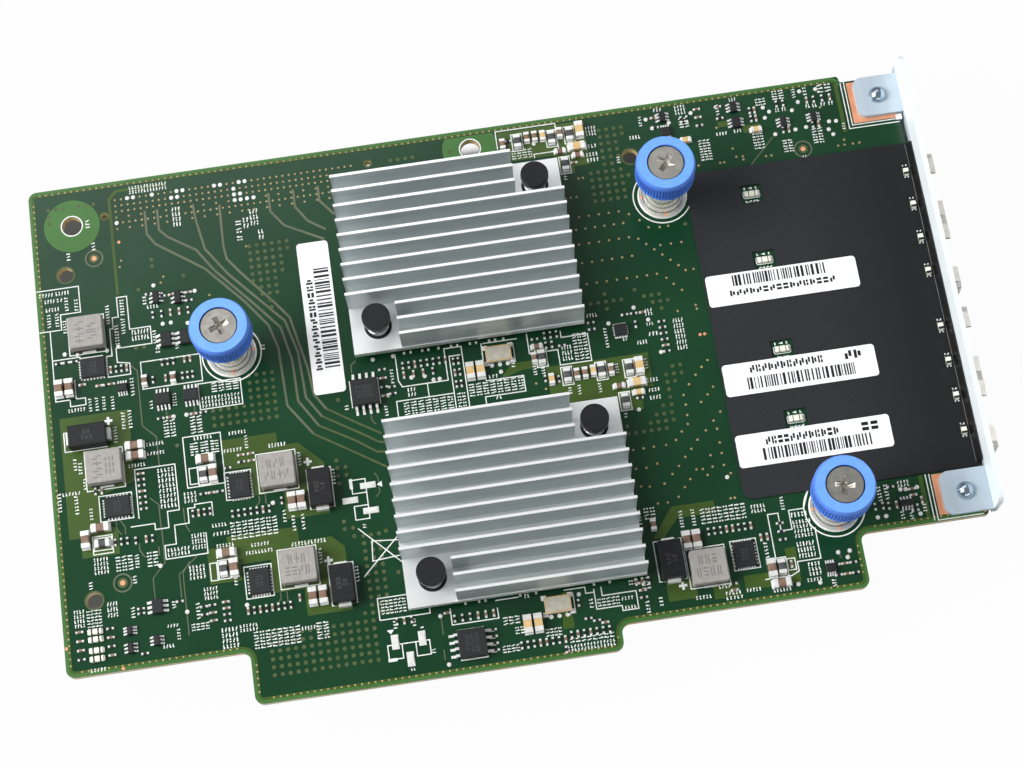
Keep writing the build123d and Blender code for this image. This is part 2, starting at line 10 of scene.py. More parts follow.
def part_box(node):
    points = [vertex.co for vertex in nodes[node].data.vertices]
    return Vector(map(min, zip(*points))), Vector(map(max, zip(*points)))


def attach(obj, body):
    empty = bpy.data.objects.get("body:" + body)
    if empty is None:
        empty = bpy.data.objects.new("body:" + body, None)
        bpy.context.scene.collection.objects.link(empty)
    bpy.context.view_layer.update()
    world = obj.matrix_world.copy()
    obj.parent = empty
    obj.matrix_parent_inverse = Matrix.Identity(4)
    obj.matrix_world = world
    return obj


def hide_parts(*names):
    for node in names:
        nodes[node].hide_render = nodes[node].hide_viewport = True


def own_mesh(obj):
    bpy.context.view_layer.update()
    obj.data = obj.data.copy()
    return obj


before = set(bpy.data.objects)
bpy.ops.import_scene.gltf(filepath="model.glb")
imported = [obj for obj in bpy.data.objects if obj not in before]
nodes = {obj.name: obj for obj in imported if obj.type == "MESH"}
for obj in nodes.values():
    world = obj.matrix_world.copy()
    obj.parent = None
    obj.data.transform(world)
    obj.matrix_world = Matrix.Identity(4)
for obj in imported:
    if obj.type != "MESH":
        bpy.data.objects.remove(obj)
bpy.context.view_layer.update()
chance = random.Random(17)

MM = 0.001
micron, microns = 1e-6, 1e6
board_low, board_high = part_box("circuit_board")
origin = Vector((board_low.x, board_low.y, board_high.z))
board_thick = (board_high.z - board_low.z) / MM

# Heights of the thin layers on the board, in millimetres
pour_top = 0.016
trace_top = 0.026
via_top = 0.034
ink_top = 0.042
pad_top = 0.060
hair = 0.0008

# Marks on parts and labels: how deep they sink into the top, and how far they stand over it
mark_sink = 0.02
stamp_rise = 0.004
label_rise = 0.01

# Middles of the three screws and of the two large holes, in card millimetres
screws = {"left": (37.2, 69.3), "upper": (125.9, 89.05), "lower": (147.4, 21.0)}
large_holes = ((8.25, 101.0), (89.4, 105.25))


def card(x, y, z=0.0):
    """A point given in card millimetres, from the board's left edge, lowest edge and top face."""
    return origin + Vector((x, y, z)) * MM


def tone(red, green, blue):
    """A screen colour of 0 to 255 as linear light."""
    out = []
    for value in (red, green, blue):
        share = value / 255
        out.append(share / 12.92 if share < 0.04045 else ((share + 0.055) / 1.055) ** 2.4)
    return (*out, 1.0)


class Shape:
    """Closed solids in card millimetres, gathered into one mesh."""

    def __init__(self):
        self.points = []
        self.faces = []
        self.prisms = 0

    def prism(self, outline, low, high):
        """A flat outline raised from low to high; tops differ by a hair, so that no two share a plane."""
        first = len(self.points)
        count = len(outline)
        turns = zip(outline, [*outline[1:], outline[0]])
        if sum(a[0] * b[1] - b[0] * a[1] for a, b in turns) < 0:
            outline = outline[::-1]
        high += self.prisms % 9 * hair
        self.prisms += 1
        self.points += [(x, y, low) for x, y in outline] + [(x, y, high) for x, y in outline]
        self.faces.append(tuple(first + i for i in reversed(range(count))))
        self.faces.append(tuple(first + count + i for i in range(count)))
        for i in range(count):
            j = (i + 1) % count
            self.faces.append((first + i, first + j, first + count + j, first + count + i))

    def box(self, x0, y0, x1, y1, low, high):
        self.prism([(x0, y0), (x1, y0), (x1, y1), (x0, y1)], low, high)

    def block(self, x, y, width, depth, low, high):
        """A box about a middle point."""
        self.box(x - width / 2, y - depth / 2, x + width / 2, y + depth / 2, low, high)

    def lay(self, upright, u0, v0, u1, v1, low, high):
        """A box with u along the card and v across it, or the other way round where it is upright."""
        if upright:
            self.box(v0, u0, v1, u1, low, high)
        else:
            self.box(u0, v0, u1, v1, low, high)

    def disc(self, x, y, radius, low, high, sides=10):
        turn = [2 * math.pi * i / sides for i in range(sides)]
        self.prism([(x + radius * math.cos(a), y + radius * math.sin(a)) for a in turn], low, high)

    def ring(self, x, y, inner, outer, low, high, sides=40):
        """A flat washer."""
        first = len(self.points)
        for radius, height in ((inner, low), (outer, low), (outer, high), (inner, high)):
            for i in range(sides):
                angle = 2 * math.pi * i / sides
                self.points.append((x + radius * math.cos(angle), y + radius * math.sin(angle), height))
        for band in range(4):
            here = first + band * sides
            there = first + (band + 1) % 4 * sides
            for i in range(sides):
                j = (i + 1) % sides
                self.faces.append((here + i, here + j, there + j, there + i))

    def stroke(self, path, width, low, high, closed=False):
        """A line of even width along a path, with square mitred bends."""
        points = [Vector(p) for p in path]
        count = len(points)
        left = []
        right = []
        for i, point in enumerate(points):
            before = points[i - 1] if i or closed else None
            after = points[(i + 1) % count] if i < count - 1 or closed else None
            ways = [(b - a).normalized() for a, b in ((before, point), (point, after)) if a and b]
            way = sum(ways, Vector((0, 0))).normalized()
            reach = width / 2 / max(0.5, way.dot(ways[0]))
            side = Vector((-way.y, way.x)) * reach
            left.append(point + side)
            right.append(point - side)
        for i in range(count if closed else count - 1):
            j = (i + 1) % count
            self.prism([left[i], right[i], right[j], left[j]], low, high)

    def gutter(self, near, far, half, low, start, end, flank):
        """Half of a sloping gutter: it rises from near to far, and from its middle outwards."""
        first = len(self.points)
        for spot, top in ((near, start), (far, end)):
            for side, height in ((spot, top), (spot + half * 2, min(end, top + flank))):
                self.points += [(side.x, side.y, low), (side.x, side.y, height)]
        sides = [(0, 2, 6, 4), (1, 5, 7, 3), (0, 4, 5, 1), (2, 3, 7, 6), (0, 1, 3, 2), (4, 6, 7, 5)]
        if (far - near).cross(half) < 0:
            sides = [side[::-1] for side in sides]
        self.faces += [tuple(first + i for i in side) for side in sides]

    def wedge(self, section, low, high):
        """A section across the card, of x and height, drawn out along y."""
        first = len(self.points)
        count = len(section)
        self.points += [(x, y, z) for y in (low, high) for x, z in section]
        self.faces.append(tuple(first + i for i in range(count)))
        self.faces.append(tuple(first + count + i for i in reversed(range(count))))
        for i in range(count):
            j = (i + 1) % count
            self.faces.append((first + j, first + i, first + count + i, first + count + j))

    def helix(self, x, y, low, high, radius, wire, turns, steps=28, sides=8):
        """Round wire wound between two heights."""
        first = len(self.points)
        count = turns * steps
        for i in range(count + 1):
            angle = 2 * math.pi * i / steps
            for k in range(sides):
                across = 2 * math.pi * k / sides
                reach = radius + wire * math.cos(across)
                height = low + (high - low) * i / count + wire * math.sin(across)
                self.points.append((x + reach * math.cos(angle), y + reach * math.sin(angle), height))
        for i in range(count):
            here = first + i * sides
            for k in range(sides):
                j = (k + 1) % sides
                self.faces.append((here + k, here + sides + k, here + sides + j, here + j))
        self.faces.append(tuple(first + k for k in range(sides)))
        self.faces.append(tuple(first + count * sides + k for k in reversed(range(sides))))

    def frame(self, x0, y0, x1, y1, width, low, high):
        """A box outline drawn as a line."""
        self.stroke([(x0, y0), (x1, y0), (x1, y1), (x0, y1)], width, low, high, closed=True)

    def make(self, name, material, body="card"):
        mesh = bpy.data.meshes.new(name)
        mesh.from_pydata([card(*p) for p in self.points], [], self.faces)
        mesh.materials.append(material)
        mesh.validate()
        piece = bpy.data.objects.new(name, mesh)
        bpy.context.scene.collection.objects.link(piece)
        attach(piece, body)
        return piece


def preset(node, **values):
    """Sets a node's inputs by name; an underscore stands for a space."""
    for name, value in values.items():
        node.inputs[name.replace("_", " ")].default_value = value
    return node


def add(tree, kind, **values):
    """A new shader node with some of its inputs set."""
    return preset(tree.nodes.new(f"ShaderNode{kind}"), **values)


def surface(name, dark, light, rough, metal=0.0, scale=300.0, stretch=(1, 1, 1), bump=0.0, **sockets):
    """A finish whose colour drifts between two tones along a fine noise, with a slight relief."""
    material = bpy.data.materials.new(name)
    material.use_nodes = True
    tree = material.node_tree
    link = tree.links.new
    shader = preset(tree.nodes["Principled BSDF"], Roughness=rough, Metallic=metal, **sockets)
    place = add(tree, "TexCoord")
    scaled = add(tree, "Mapping", Scale=stretch)
    noise = add(tree, "TexNoise", Scale=scale, Detail=3.0)
    ramp = add(tree, "ValToRGB")
    for i, (position, colour) in enumerate(((0.3, dark), (0.7, light))):
        ramp.color_ramp.elements[i].position = position
        ramp.color_ramp.elements[i].color = tone(*colour)
    link(place.outputs["Object"], scaled.inputs["Vector"])
    link(scaled.outputs["Vector"], noise.inputs["Vector"])
    link(noise.outputs["Fac"], ramp.inputs["Fac"])
    link(ramp.outputs["Color"], shader.inputs["Base Color"])
    if bump:
        relief = add(tree, "Bump", Strength=bump, Distance=0.0001)
        link(noise.outputs["Fac"], relief.inputs["Height"])
        link(relief.outputs["Normal"], shader.inputs["Normal"])
    return material


def paint(material, *names):
    """Gives CAD nodes their finish."""
    for name in names:
        nodes[name].data.materials.clear()
        nodes[name].data.materials.append(material)


# Finishes
mask = surface("mask", (14, 52, 29), (20, 60, 35), 0.2, scale=60.0, Specular_IOR_Level=0.42)
pour = surface("pour", (54, 76, 26), (62, 86, 32), 0.28, scale=80.0, Specular_IOR_Level=0.42)
rim = surface("rim", (54, 98, 44), (64, 108, 52), 0.3, scale=80.0, Specular_IOR_Level=0.42)
trace = surface("trace", (82, 90, 70), (96, 100, 78), 0.35, scale=200.0)
gold = surface("gold", (146, 126, 84), (172, 150, 106), 0.45, scale=900.0)
plugged = surface("plugged", (60, 74, 38), (80, 88, 48), 0.4, scale=900.0)
ink = surface("ink", (212, 215, 212), (228, 230, 226), 0.6, scale=900.0)
copper = surface("copper", (220, 146, 110), (240, 172, 134), 0.35, 0.3, scale=300.0)
tin = surface("tin", (222, 222, 219), (242, 242, 239), 0.32, 0.35, scale=1500.0)
aluminium = surface(
    "aluminium", (189, 198, 199), (205, 213, 214), 0.36, 0.65, scale=700.0, stretch=(0.05, 1, 1))
steel = surface("steel", (242, 237, 228), (252, 248, 241), 0.4, 0.25, scale=500.0)
zinc = surface("zinc", (174, 188, 199), (184, 198, 208), 0.42, 0.12, scale=400.0, stretch=(1, 0.03, 1))
nickel = surface("nickel", (240, 238, 228), (250, 248, 240), 0.16, 0.75, scale=300.0)
rivet = surface("rivet", (150, 166, 180), (174, 190, 204), 0.25, 0.9, scale=900.0)
screw_steel = surface("screw_steel", (156, 153, 146), (180, 177, 169), 0.34, 0.75, scale=700.0)
recess = surface("recess", (158, 152, 144), (182, 176, 167), 0.36, 0.8, scale=900.0)
spring = surface("spring", (170, 172, 174), (205, 206, 208), 0.25, 1.0, scale=900.0)
blue = surface("blue", (100, 154, 236), (108, 162, 242), 0.48, scale=900.0, bump=0.05)
film = surface("film", (30, 31, 35), (38, 39, 43), 0.62, scale=2600.0, bump=0.15, Specular_IOR_Level=0.3)
fold = surface("fold", (8, 8, 9), (14, 14, 16), 0.3, scale=900.0)
paper = surface("paper", (236, 236, 236), (246, 246, 245), 0.55, scale=900.0)
black = surface("black", (18, 19, 21), (26, 27, 30), 0.45, scale=900.0, bump=0.05, Specular_IOR_Level=0.3)
epoxy = surface("epoxy", (26, 28, 30), (36, 38, 40), 0.5, scale=2200.0, bump=0.1, Specular_IOR_Level=0.3)
ferrite = surface("ferrite", (140, 136, 131), (154, 150, 145), 0.6, scale=1500.0, bump=0.05)
ceramic = surface("ceramic", (112, 88, 72), (134, 108, 90), 0.5, scale=900.0)
# Dark grey of the ferrite beads, also used for the painted shadow lines at the ferrules' steps
bead_and_shadow = surface("bead_and_shadow", (60, 60, 62), (78, 78, 80), 0.5, scale=900.0)
lens = surface("lens", (226, 224, 204), (240, 238, 222), 0.35, scale=900.0)
lid = surface("lid", (206, 200, 184), (224, 218, 202), 0.35, 0.5, scale=900.0)
tan = surface("tan", (196, 164, 110), (212, 182, 130), 0.5, scale=900.0)
pad = surface("pad", (150, 152, 156), (166, 168, 172), 0.7, scale=900.0)
# Grey of the stamped marks on the inductors, also used for the painted highlight along the sheet's fold
stamp_and_highlight_grey = surface("stamp_and_highlight_grey", (104, 102, 98), (120, 118, 113), 0.6, scale=900.0)
stamp_faint = surface("stamp_faint", (50, 51, 50), (62, 62, 58), 0.5, scale=900.0)


def over(material, share, colour):
    """Lays a second tone over a finish, by a share from 0 to 1."""
    tree = material.node_tree
    base = tree.nodes["Principled BSDF"].inputs["Base Color"]
    first_tone = base.links[0].from_socket
    mix = add(tree, "Mix")
    mix.data_type = "RGBA"
    preset(mix, B=tone(*colour))
    tree.links.new(share, mix.inputs["Factor"])
    tree.links.new(first_tone, mix.inputs["A"])
    tree.links.new(mix.outputs["Result"], base)


def tone_upright(material, colour):
    """Gives the upright faces another tone: bare laminate where the board is cut, and painted shade on the
    sides of the knobs.
    """
    tree = material.node_tree
    shape = add(tree, "NewGeometry")
    parts = add(tree, "SeparateXYZ")
    flat = add(tree, "Math")
    flat.operation = "ABSOLUTE"
    steep = add(tree, "MapRange", From_Min=0.6, From_Max=0.4)
    tree.links.new(shape.outputs["True Normal"], parts.inputs["Vector"])
    tree.links.new(parts.outputs["Z"], flat.inputs[0])
    tree.links.new(flat.outputs["Value"], steep.inputs["Value"])
    over(material, steep.outputs["Result"], colour)


def tone_along(material, axis, start, end, colour):
    """Paints light and shade into a finish: it shifts the finish towards another tone between two places
    along an axis of the frame, in metres.
    """
    tree = material.node_tree
    parts = add(tree, "SeparateXYZ")
    share = add(tree, "MapRange", From_Min=start, From_Max=end)
    tree.links.new(tree.nodes["Texture Coordinate"].outputs["Object"], parts.inputs["Vector"])
    tree.links.new(parts.outputs[axis], share.inputs["Value"])
    over(material, share.outputs["Result"], colour)


tone_upright(mask, (206, 186, 138))
# Painted shade: the knobs' upright sides are a darker blue than their tops.
tone_upright(blue, (72, 118, 208))
# Painted light: the faceplate turns near white above the height of its tabs, so the upright wall reads lit
# and the low tabs stay grey.
tone_along(zinc, "Z", card(0, 0, 1.1).z, card(0, 0, 1.6).z, (234, 241, 243))
# Painted highlight: the tops of the heatsink fins turn white.
tone_along(aluminium, "Z", card(0, 0, 11.25).z, card(0, 0, 11.33).z, (255, 255, 255))
# Painted light: the heatsinks' floors, at the foot of the fins and in the pin pockets, are lighter than the
# walls.
tone_along(aluminium, "Z", card(0, 0, 3.82).z, card(0, 0, 3.72).z, (246, 248, 248))
# Painted shade: the sheet darkens towards the faceplate.
tone_along(film, "X", card(152, 0).x, card(177, 0).x, (10, 11, 13))
paint(mask, "circuit_board")
paint(zinc, "faceplate_bracket")
paint(steel, "upper_port_cage", "lower_port_cage")
paint(rivet, "bracket_rivets")
paint(aluminium, "upper_heatsink", "lower_heatsink")
paint(epoxy, "upper_network_chip", "lower_network_chip", "logic_chips")
paint(pad, "upper_thermal_pad", "lower_thermal_pad")
paint(black, "heatsink_push_pins", "host_connector", "power_connector")
paint(spring, "push_pin_springs")
paint(film, "insulator_sheet")
paint(paper, "upper_sheet_label", "middle_sheet_label", "lower_sheet_label", "board_label")
paint(lens, "port_lights", "board_lights")
paint(ceramic, "large_capacitors", "small_capacitors")
paint(bead_and_shadow, "ferrite_beads")
paint(lid, "oscillator_1", "oscillator_2")
for number in range(1, 5):
    paint(black, f"port_socket_{number}", f"polymer_capacitor_{number}")
for number in range(1, 6):
    paint(ferrite, f"power_inductor_{number}")
    paint(epoxy, f"regulator_chip_{number}")
for number in range(1, 3):
    paint(epoxy, f"flash_chip_{number}")
for side in screws:
    paint(nickel, f"{side}_screw_ferrule")
    paint(screw_steel, f"{side}_captive_screw")
    paint(spring, f"{side}_screw_spring")
    paint(blue, f"{side}_thumb_knob")

# Fine detail on the board, all in card millimetres
areas = Shape()
edges = Shape()
lines = Shape()
dots = Shape()
plugs = Shape()
print_ink = Shape()
solder = Shape()
dark_parts = Shape()
brown_parts = Shape()
tan_parts = Shape()
bare_copper = Shape()

# Sizes of the fine detail
plug_r = 0.4
via_r = 0.24
ink_line = 0.2
passive_reach = 0.52
passive_pad = 0.44
passive_end = 0.8
passive_body = (0.56, 0.5)
passive_tall = 0.36
passive_dip = 0.03
blob_steps = [(0.42, 0, 0.12), (0.28, 0.12, 0.2)]
glyph_pitch = 0.62
word_gap = 0.12
last_step = 1.01

# Bars of the invented marks, as shares of a mark's width and height: on the board, on labels and on parts
glyphs = [
    [(0.22, 0.0, 0.6, 1.0)],
    [(0.2, 0.0, 0.46, 1.0), (0.46, 0.0, 0.68, 0.4)],
    [(0.2, 0.0, 0.46, 0.58), (0.42, 0.44, 0.68, 1.0)],
    [(0.28, 0.0, 0.54, 1.0), (0.54, 0.6, 0.74, 1.0)],
    [(0.2, 0.02, 0.62, 0.38), (0.2, 0.62, 0.62, 0.98)],
]
letter_bars = [
    [(0.08, 0.0, 0.36, 1.0), (0.5, 0.0, 0.8, 0.42), (0.5, 0.58, 0.8, 1.0)],
    [(0.08, 0.0, 0.82, 0.4), (0.08, 0.6, 0.82, 1.0)],
    [(0.08, 0.0, 0.4, 0.7), (0.5, 0.3, 0.82, 1.0)],
    [(0.08, 0.0, 0.4, 1.0), (0.5, 0.2, 0.82, 0.8)],
]
stamp_bars = [
    [(0.1, 0.0, 0.28, 1.0), (0.5, 0.0, 0.68, 1.0)],
    [(0.1, 0.08, 0.8, 0.24), (0.1, 0.46, 0.8, 0.62), (0.1, 0.84, 0.8, 1.0)],
    [(0.1, 0.0, 0.28, 0.6), (0.5, 0.4, 0.68, 1.0)],
    [(0.1, 0.42, 0.8, 0.58), (0.36, 0.0, 0.54, 1.0)],
]


def fill(shape, corners, high):
    """A flat area on the board."""
    shape.prism(corners, 0, high)


def grid(x0, x1, y0, y1, step):
    """Places at even steps over a rectangle."""
    across = int((x1 - x0) / step + last_step)
    up = int((y1 - y0) / step + last_step)
    return [(x0 + i * step, y0 + j * step) for j in range(up) for i in range(across)]


def vias(places):
    """Plugged vias, under the mask."""
    for x, y in places:
        plugs.disc(x, y, plug_r, 0, via_top)


def open_vias(places, radius=via_r):
    for x, y in places:
        dots.disc(x, y, radius, 0, via_top, 8)


def word(x0, y0, x1, y1):
    """A made-up mark for a printed word: short bars and dots along the longer side of a box."""
    upright = y1 - y0 > x1 - x0
    left, right, foot, head = (y0, y1, x0, x1) if upright else (x0, x1, y0, y1)
    along, tall = right - left, head - foot
    count = max(1, round(along / glyph_pitch))
    pitch = along / count
    for i in range(count):
        start = i * pitch
        for a, b, c, d in chance.choice(glyphs):
            u0, u1 = left + (start + a * pitch), left + (start + c * pitch)
            print_ink.lay(upright, u0, foot + b * tall, u1, foot + d * tall, 0, ink_top)


def words(x0, y0, x1, y1, count, upright=False):
    """A block of printed words, side by side or one over another."""
    for i in range(count):
        if upright:
            pitch = (x1 - x0) / count
            word(x0 + (i + word_gap) * pitch, y0, x0 + (i + 1 - word_gap) * pitch, y1)
        else:
            pitch = (y1 - y0) / count
            word(x0, y0 + (i + word_gap) * pitch, x1, y0 + (i + 1 - word_gap) * pitch)


def outline(*path):
    """A closed printed line."""
    print_ink.stroke(path, ink_line, 0, ink_top, closed=True)


def print_lines(*paths):
    """Open printed lines."""
    for path in paths:
        print_ink.stroke(path, ink_line, 0, ink_top)


def outline_box(x0, y0, x1, y1):
    print_ink.frame(x0, y0, x1, y1, ink_line, 0, ink_top)


def passive(x, y, upright=False):
    """A tiny two-ended part: solder at both ends and a body between them."""
    body = chance.choice((dark_parts, dark_parts, brown_parts))
    for side in (-1, 1):
        shift = side * passive_reach
        px, py = (x, y + shift) if upright else (x + shift, y)
        solder.block(px, py, passive_pad, passive_pad, 0, pad_top)
        solder.block(px, py, passive_pad * passive_end, passive_pad * passive_end, pad_top, passive_tall)
    wide, deep = passive_body[::-1] if upright else passive_body
    body.block(x, y, wide, deep, 0, passive_tall - passive_dip)


def passives(places, upright=False):
    for x, y in places:
        passive(x, y, upright)


def blob(*places):
    """A rounded drop of solder on a test point."""
    for x, y in places:
        for radius, low, high in blob_steps:
            solder.disc(x, y, radius, low, high)


def run(x, y, step_x, step_y, count):
    """Places at even steps along a line."""
    return [(x + i * step_x, y + i * step_y) for i in range(count)]


# The board's lighter rim and the row of vias along it
edge_corners = [
    (175.2, 15.2), (151.2, 15.2), (151.2, 4.8), (103.8, 4.8), (103.8, 0.0), (34.5, 0.0), (34.5, 10.1),
    (0.0, 10.1), (0.0, 109.4), (165.4, 109.4), (165.4, 108.0),
]
rim_inset, rim_wide = 0.36, 0.66
stitch_inset, stitch_band, stitch_r = 0.92, 0.5, 0.2
stitch_step = 1.27
board_corner, least_corner = 1.7, 0.1
corner_steps = 6


def inset_path(corners, inset):
    """The board's edge line moved inwards, with its corners kept round."""
    points = [Vector(p) for p in corners]
    ways = [(b - a).normalized() for a, b in zip(points, points[1:])]
    inward = [Vector((w.y, -w.x)) * inset for w in ways]
    out = [points[0] + inward[0]]
    for i in range(1, len(points) - 1):
        corner = points[i] + inward[i - 1] + inward[i]
        outer = ways[i - 1].cross(ways[i]) < 0
        radius = max(least_corner, board_corner + (-inset if outer else inset))
        for step in range(corner_steps + 1):
            angle = math.pi / 2 * step / corner_steps
            along = ways[i - 1] * (math.sin(angle) - 1)
            out.append(corner + (along + ways[i] * (1 - math.cos(angle))) * radius)
    out.append(points[-1] + inward[-1])
    return out


edges.stroke(inset_path(edge_corners, rim_inset), rim_wide, 0, trace_top)
stitch_path = inset_path(edge_corners, stitch_inset)
areas.stroke(stitch_path, stitch_band, 0, trace_top)
for start, end in zip(stitch_path, stitch_path[1:]):
    length = (end - start).length
    for i in range(int(length / stitch_step)):
        place = start.lerp(end, (i + 0.5) * stitch_step / length)
        dots.disc(place.x, place.y, stitch_r, 0, via_top, 8)

# Lighter copper areas under the mask, and round the two large holes
for area in (
    [(2.6, 36.6), (4.8, 36.6), (4.8, 32.6), (12.0, 32.6), (12.0, 37.6), (9.0, 39.0), (9.0, 44.4),
     (16.1, 46.5), (16.1, 61.0), (2.6, 61.0)],
    [(33.4, 45.8), (38.4, 45.8), (38.4, 40.0), (44.2, 40.0), (44.2, 34.4), (52.5, 34.4), (52.5, 44.6),
     (48.0, 49.2), (44.0, 49.2), (44.0, 51.9), (33.4, 51.9)],
    [(28.4, 23.9), (34.5, 23.9), (34.5, 27.0), (40.3, 27.0), (40.3, 20.5), (46.0, 20.5), (46.0, 15.2),
     (54.5, 15.2), (54.5, 27.5), (52.2, 29.8), (46.0, 29.8), (46.0, 32.7), (32.4, 32.7), (32.4, 30.8),
     (28.4, 30.8)],
    [(112.5, 20.0), (114.6, 20.0), (117.6, 23.3), (125.0, 23.3), (125.0, 25.7), (116.8, 25.7)],
    [(113.4, 7.6), (119.0, 7.6), (119.0, 12.0), (113.4, 12.0)],
    [(122.0, 6.8), (127.0, 6.8), (127.0, 9.6), (122.0, 9.6)],
    [(128.0, 7.6), (138.6, 7.6), (138.6, 14.5), (136.6, 14.5), (136.6, 10.4), (128.0, 10.4)],
    [(88.4, 55.8), (93.0, 57.2), (97.4, 57.2), (97.4, 58.8), (91.0, 58.8)],
    [(97.6, 48.6), (110.0, 48.6), (110.0, 45.7), (115.0, 45.7), (115.0, 50.0), (117.6, 50.0),
     (117.6, 57.0), (97.6, 57.0)],
    [(95.2, 101.2), (106.0, 101.2), (106.4, 96.8), (109.6, 96.8), (109.6, 98.2), (112.9, 98.2),
     (112.9, 107.8), (95.2, 107.8)],
    [(15.8, 85.0), (16.4, 85.0), (16.4, 105.4), (17.8, 106.9), (28.0, 106.9), (28.0, 107.5),
     (17.4, 107.5), (15.8, 105.8)],
    [(144.4, 100.0), (148.0, 100.0), (148.0, 101.6), (144.4, 101.6)],
    [(139.6, 102.0), (141.6, 102.0), (141.6, 103.2), (139.6, 103.2)],
    [(93.0, 5.5), (95.2, 5.5), (95.2, 12.4), (93.8, 12.4)],
    [(164.2, 97.0), (165.0, 97.0), (165.0, 108.4), (164.2, 108.4)],
    [(164.2, 16.0), (165.0, 16.0), (165.0, 24.6), (164.2, 24.6)],
):
    fill(areas, area, pour_top)
ground_inner, ground_outer, ground_steps = 2.0, 5.6, 48
ground_limit = 108.1
for x, y in large_holes:
    ground = [2 * math.pi * i / ground_steps for i in range(ground_steps + 1)]
    for a, b in zip(ground, ground[1:]):
        corners = [(x + r * math.cos(t), min(ground_limit, y + r * math.sin(t))) for r, t in (
            (ground_inner, a), (ground_outer, a), (ground_outer, b), (ground_inner, b))]
        fill(edges, corners, pour_top)

# Traces: wide ones, fine ones, and deeper ones that run on under the lower heatsink
wide_trace, fine_trace, deep_trace = 0.46, 0.2, 0.36
for path in (
    [(23.0, 102.0), (23.0, 97.0), (24.5, 94.6), (33.8, 87.8), (41.0, 79.5), (45.0, 74.0), (46.4, 69.0),
     (46.8, 57.0), (51.2, 50.5)],
    [(25.5, 102.0), (25.5, 97.5), (27.0, 95.8), (32.5, 92.0), (35.6, 87.2), (43.0, 78.5), (47.3, 73.2),
     (48.8, 66.0), (49.0, 57.6), (52.4, 52.0)],
    [(32.7, 102.0), (33.0, 98.5), (34.2, 92.0), (38.2, 86.0), (45.0, 78.2), (48.3, 74.4), (50.1, 67.5),
     (50.6, 58.0), (53.2, 53.8)],
    [(38.0, 101.0), (37.9, 92.0), (38.3, 89.2), (40.6, 86.0), (46.5, 78.8), (49.3, 75.0), (51.6, 64.0),
     (52.2, 58.4), (54.2, 55.2)],
    [(48.0, 102.0), (48.0, 98.0), (50.4, 94.6), (58.0, 90.4)],
    [(53.0, 102.0), (53.0, 98.2), (55.2, 94.8), (58.6, 92.4)],
    [(58.0, 102.0), (58.0, 98.8), (60.6, 95.4)],
):
    lines.stroke(path, wide_trace, 0, trace_top)
for path in (
    [(17.2, 70.0), (18.5, 68.6), (18.5, 57.2), (21.0, 54.6), (21.0, 48.6)],
    [(20.3, 36.0), (20.3, 29.5), (17.8, 26.8), (17.8, 22.6)],
    [(26.4, 29.8), (22.8, 26.8), (22.8, 22.2)],
    [(25.0, 29.0), (23.5, 27.0), (23.5, 14.9)],
    [(18.6, 42.6), (20.2, 41.0), (20.2, 36.4)],
    [(24.8, 39.6), (24.8, 36.4), (25.6, 34.8)],
    [(11.8, 39.0), (11.8, 37.4), (12.6, 36.2)],
    [(12.6, 39.0), (13.4, 37.6), (13.4, 36.2)],
    [(15.8, 34.0), (15.8, 32.6), (16.6, 31.2), (19.4, 31.2), (19.4, 32.8)],
    [(39.4, 39.8), (39.4, 38.6), (38.6, 37.8)],
    [(40.6, 40.0), (40.6, 38.0)],
    [(41.4, 20.4), (41.4, 19.2), (40.6, 18.4)],
    [(42.6, 20.4), (42.6, 18.4)],
    [(23.4, 58.0), (23.4, 60.0)],
    [(28.9, 58.0), (28.9, 60.0)],
    [(62.6, 52.6), (62.8, 51.2), (63.4, 50.6)],
    [(60.0, 61.6), (60.0, 63.2), (61.0, 64.0)],
    [(144.6, 92.9), (150.0, 98.2)],
    [(61.8, 41.0), (62.4, 40.0), (62.4, 37.0), (61.6, 36.2)],
    [(70.7, 11.6), (70.7, 7.8)],
    [(70.4, 5.0), (70.4, 3.0)],
    [(146.4, 12.4), (146.8, 11.0)],
    [(148.4, 12.6), (148.2, 10.8)],
):
    lines.stroke(path, fine_trace, 0, trace_top)
for path in (
    [(51.2, 50.5), (59.0, 45.4), (64.8, 41.5)],
    [(52.4, 52.0), (59.0, 48.0), (62.9, 45.1), (65.3, 44.7)],
    [(53.2, 53.8), (60.6, 49.0), (63.5, 47.0), (65.7, 46.5)],
    [(54.2, 55.2), (60.3, 51.1), (64.2, 48.6)],
):
    plugs.stroke(path, deep_trace, 0, pour_top)

# Rows and fields of vias
row_start, row_step, row_count, row_r = 17.25, 1.26, 39, 0.22
rows_end, first_row_end = 60.2, 66.6
for row, y in enumerate((105.3, 104.0, 102.75, 101.5, 100.25, 99.0)):
    for column in range(row_count):
        x = row_start + row_step * column
        sparse = row in (3, 5) and column % 4 in (1, 3) and column not in (20, 21)
        if not sparse and x < (rows_end if row else first_row_end):
            open_vias([(x, y)], row_r)
upper_field = grid(43.0, 51.0, 76.2, 91.4, 1.5)
vias([(x, y) for x, y in upper_field if x + 0.5 * y > 84.6 and y - 3 * (x - 43) > 66.0])
vias([(x, y) for x, y in grid(32.4, 45.0, 55.1, 64.4, 1.52) if x > 39.4 or y < 58.4])
vias(grid(38.6, 58.4, 5.0, 12.8, 1.5))
vias(grid(58.2, 61.3, 14.0, 29.6, 1.5))
vias([(54.9, y) for y in (44.5, 43.0, 41.4, 39.9, 32.3, 30.8)])
vias([(56.5, y) for y in (43.0, 41.4, 30.8, 29.2)])
vias([(56.7, 56.6), (62.6, 29.3), (56.7, 14.1), (63.9, 21.0)])
vias([(x, y) for x, y in grid(112.6, 118.8, 90.0, 106.0, 1.52) if x > 115.2 or y < 96.6])
vias([(120.2, 105.2), (120.2, 103.8), (120.0, 94.6)])
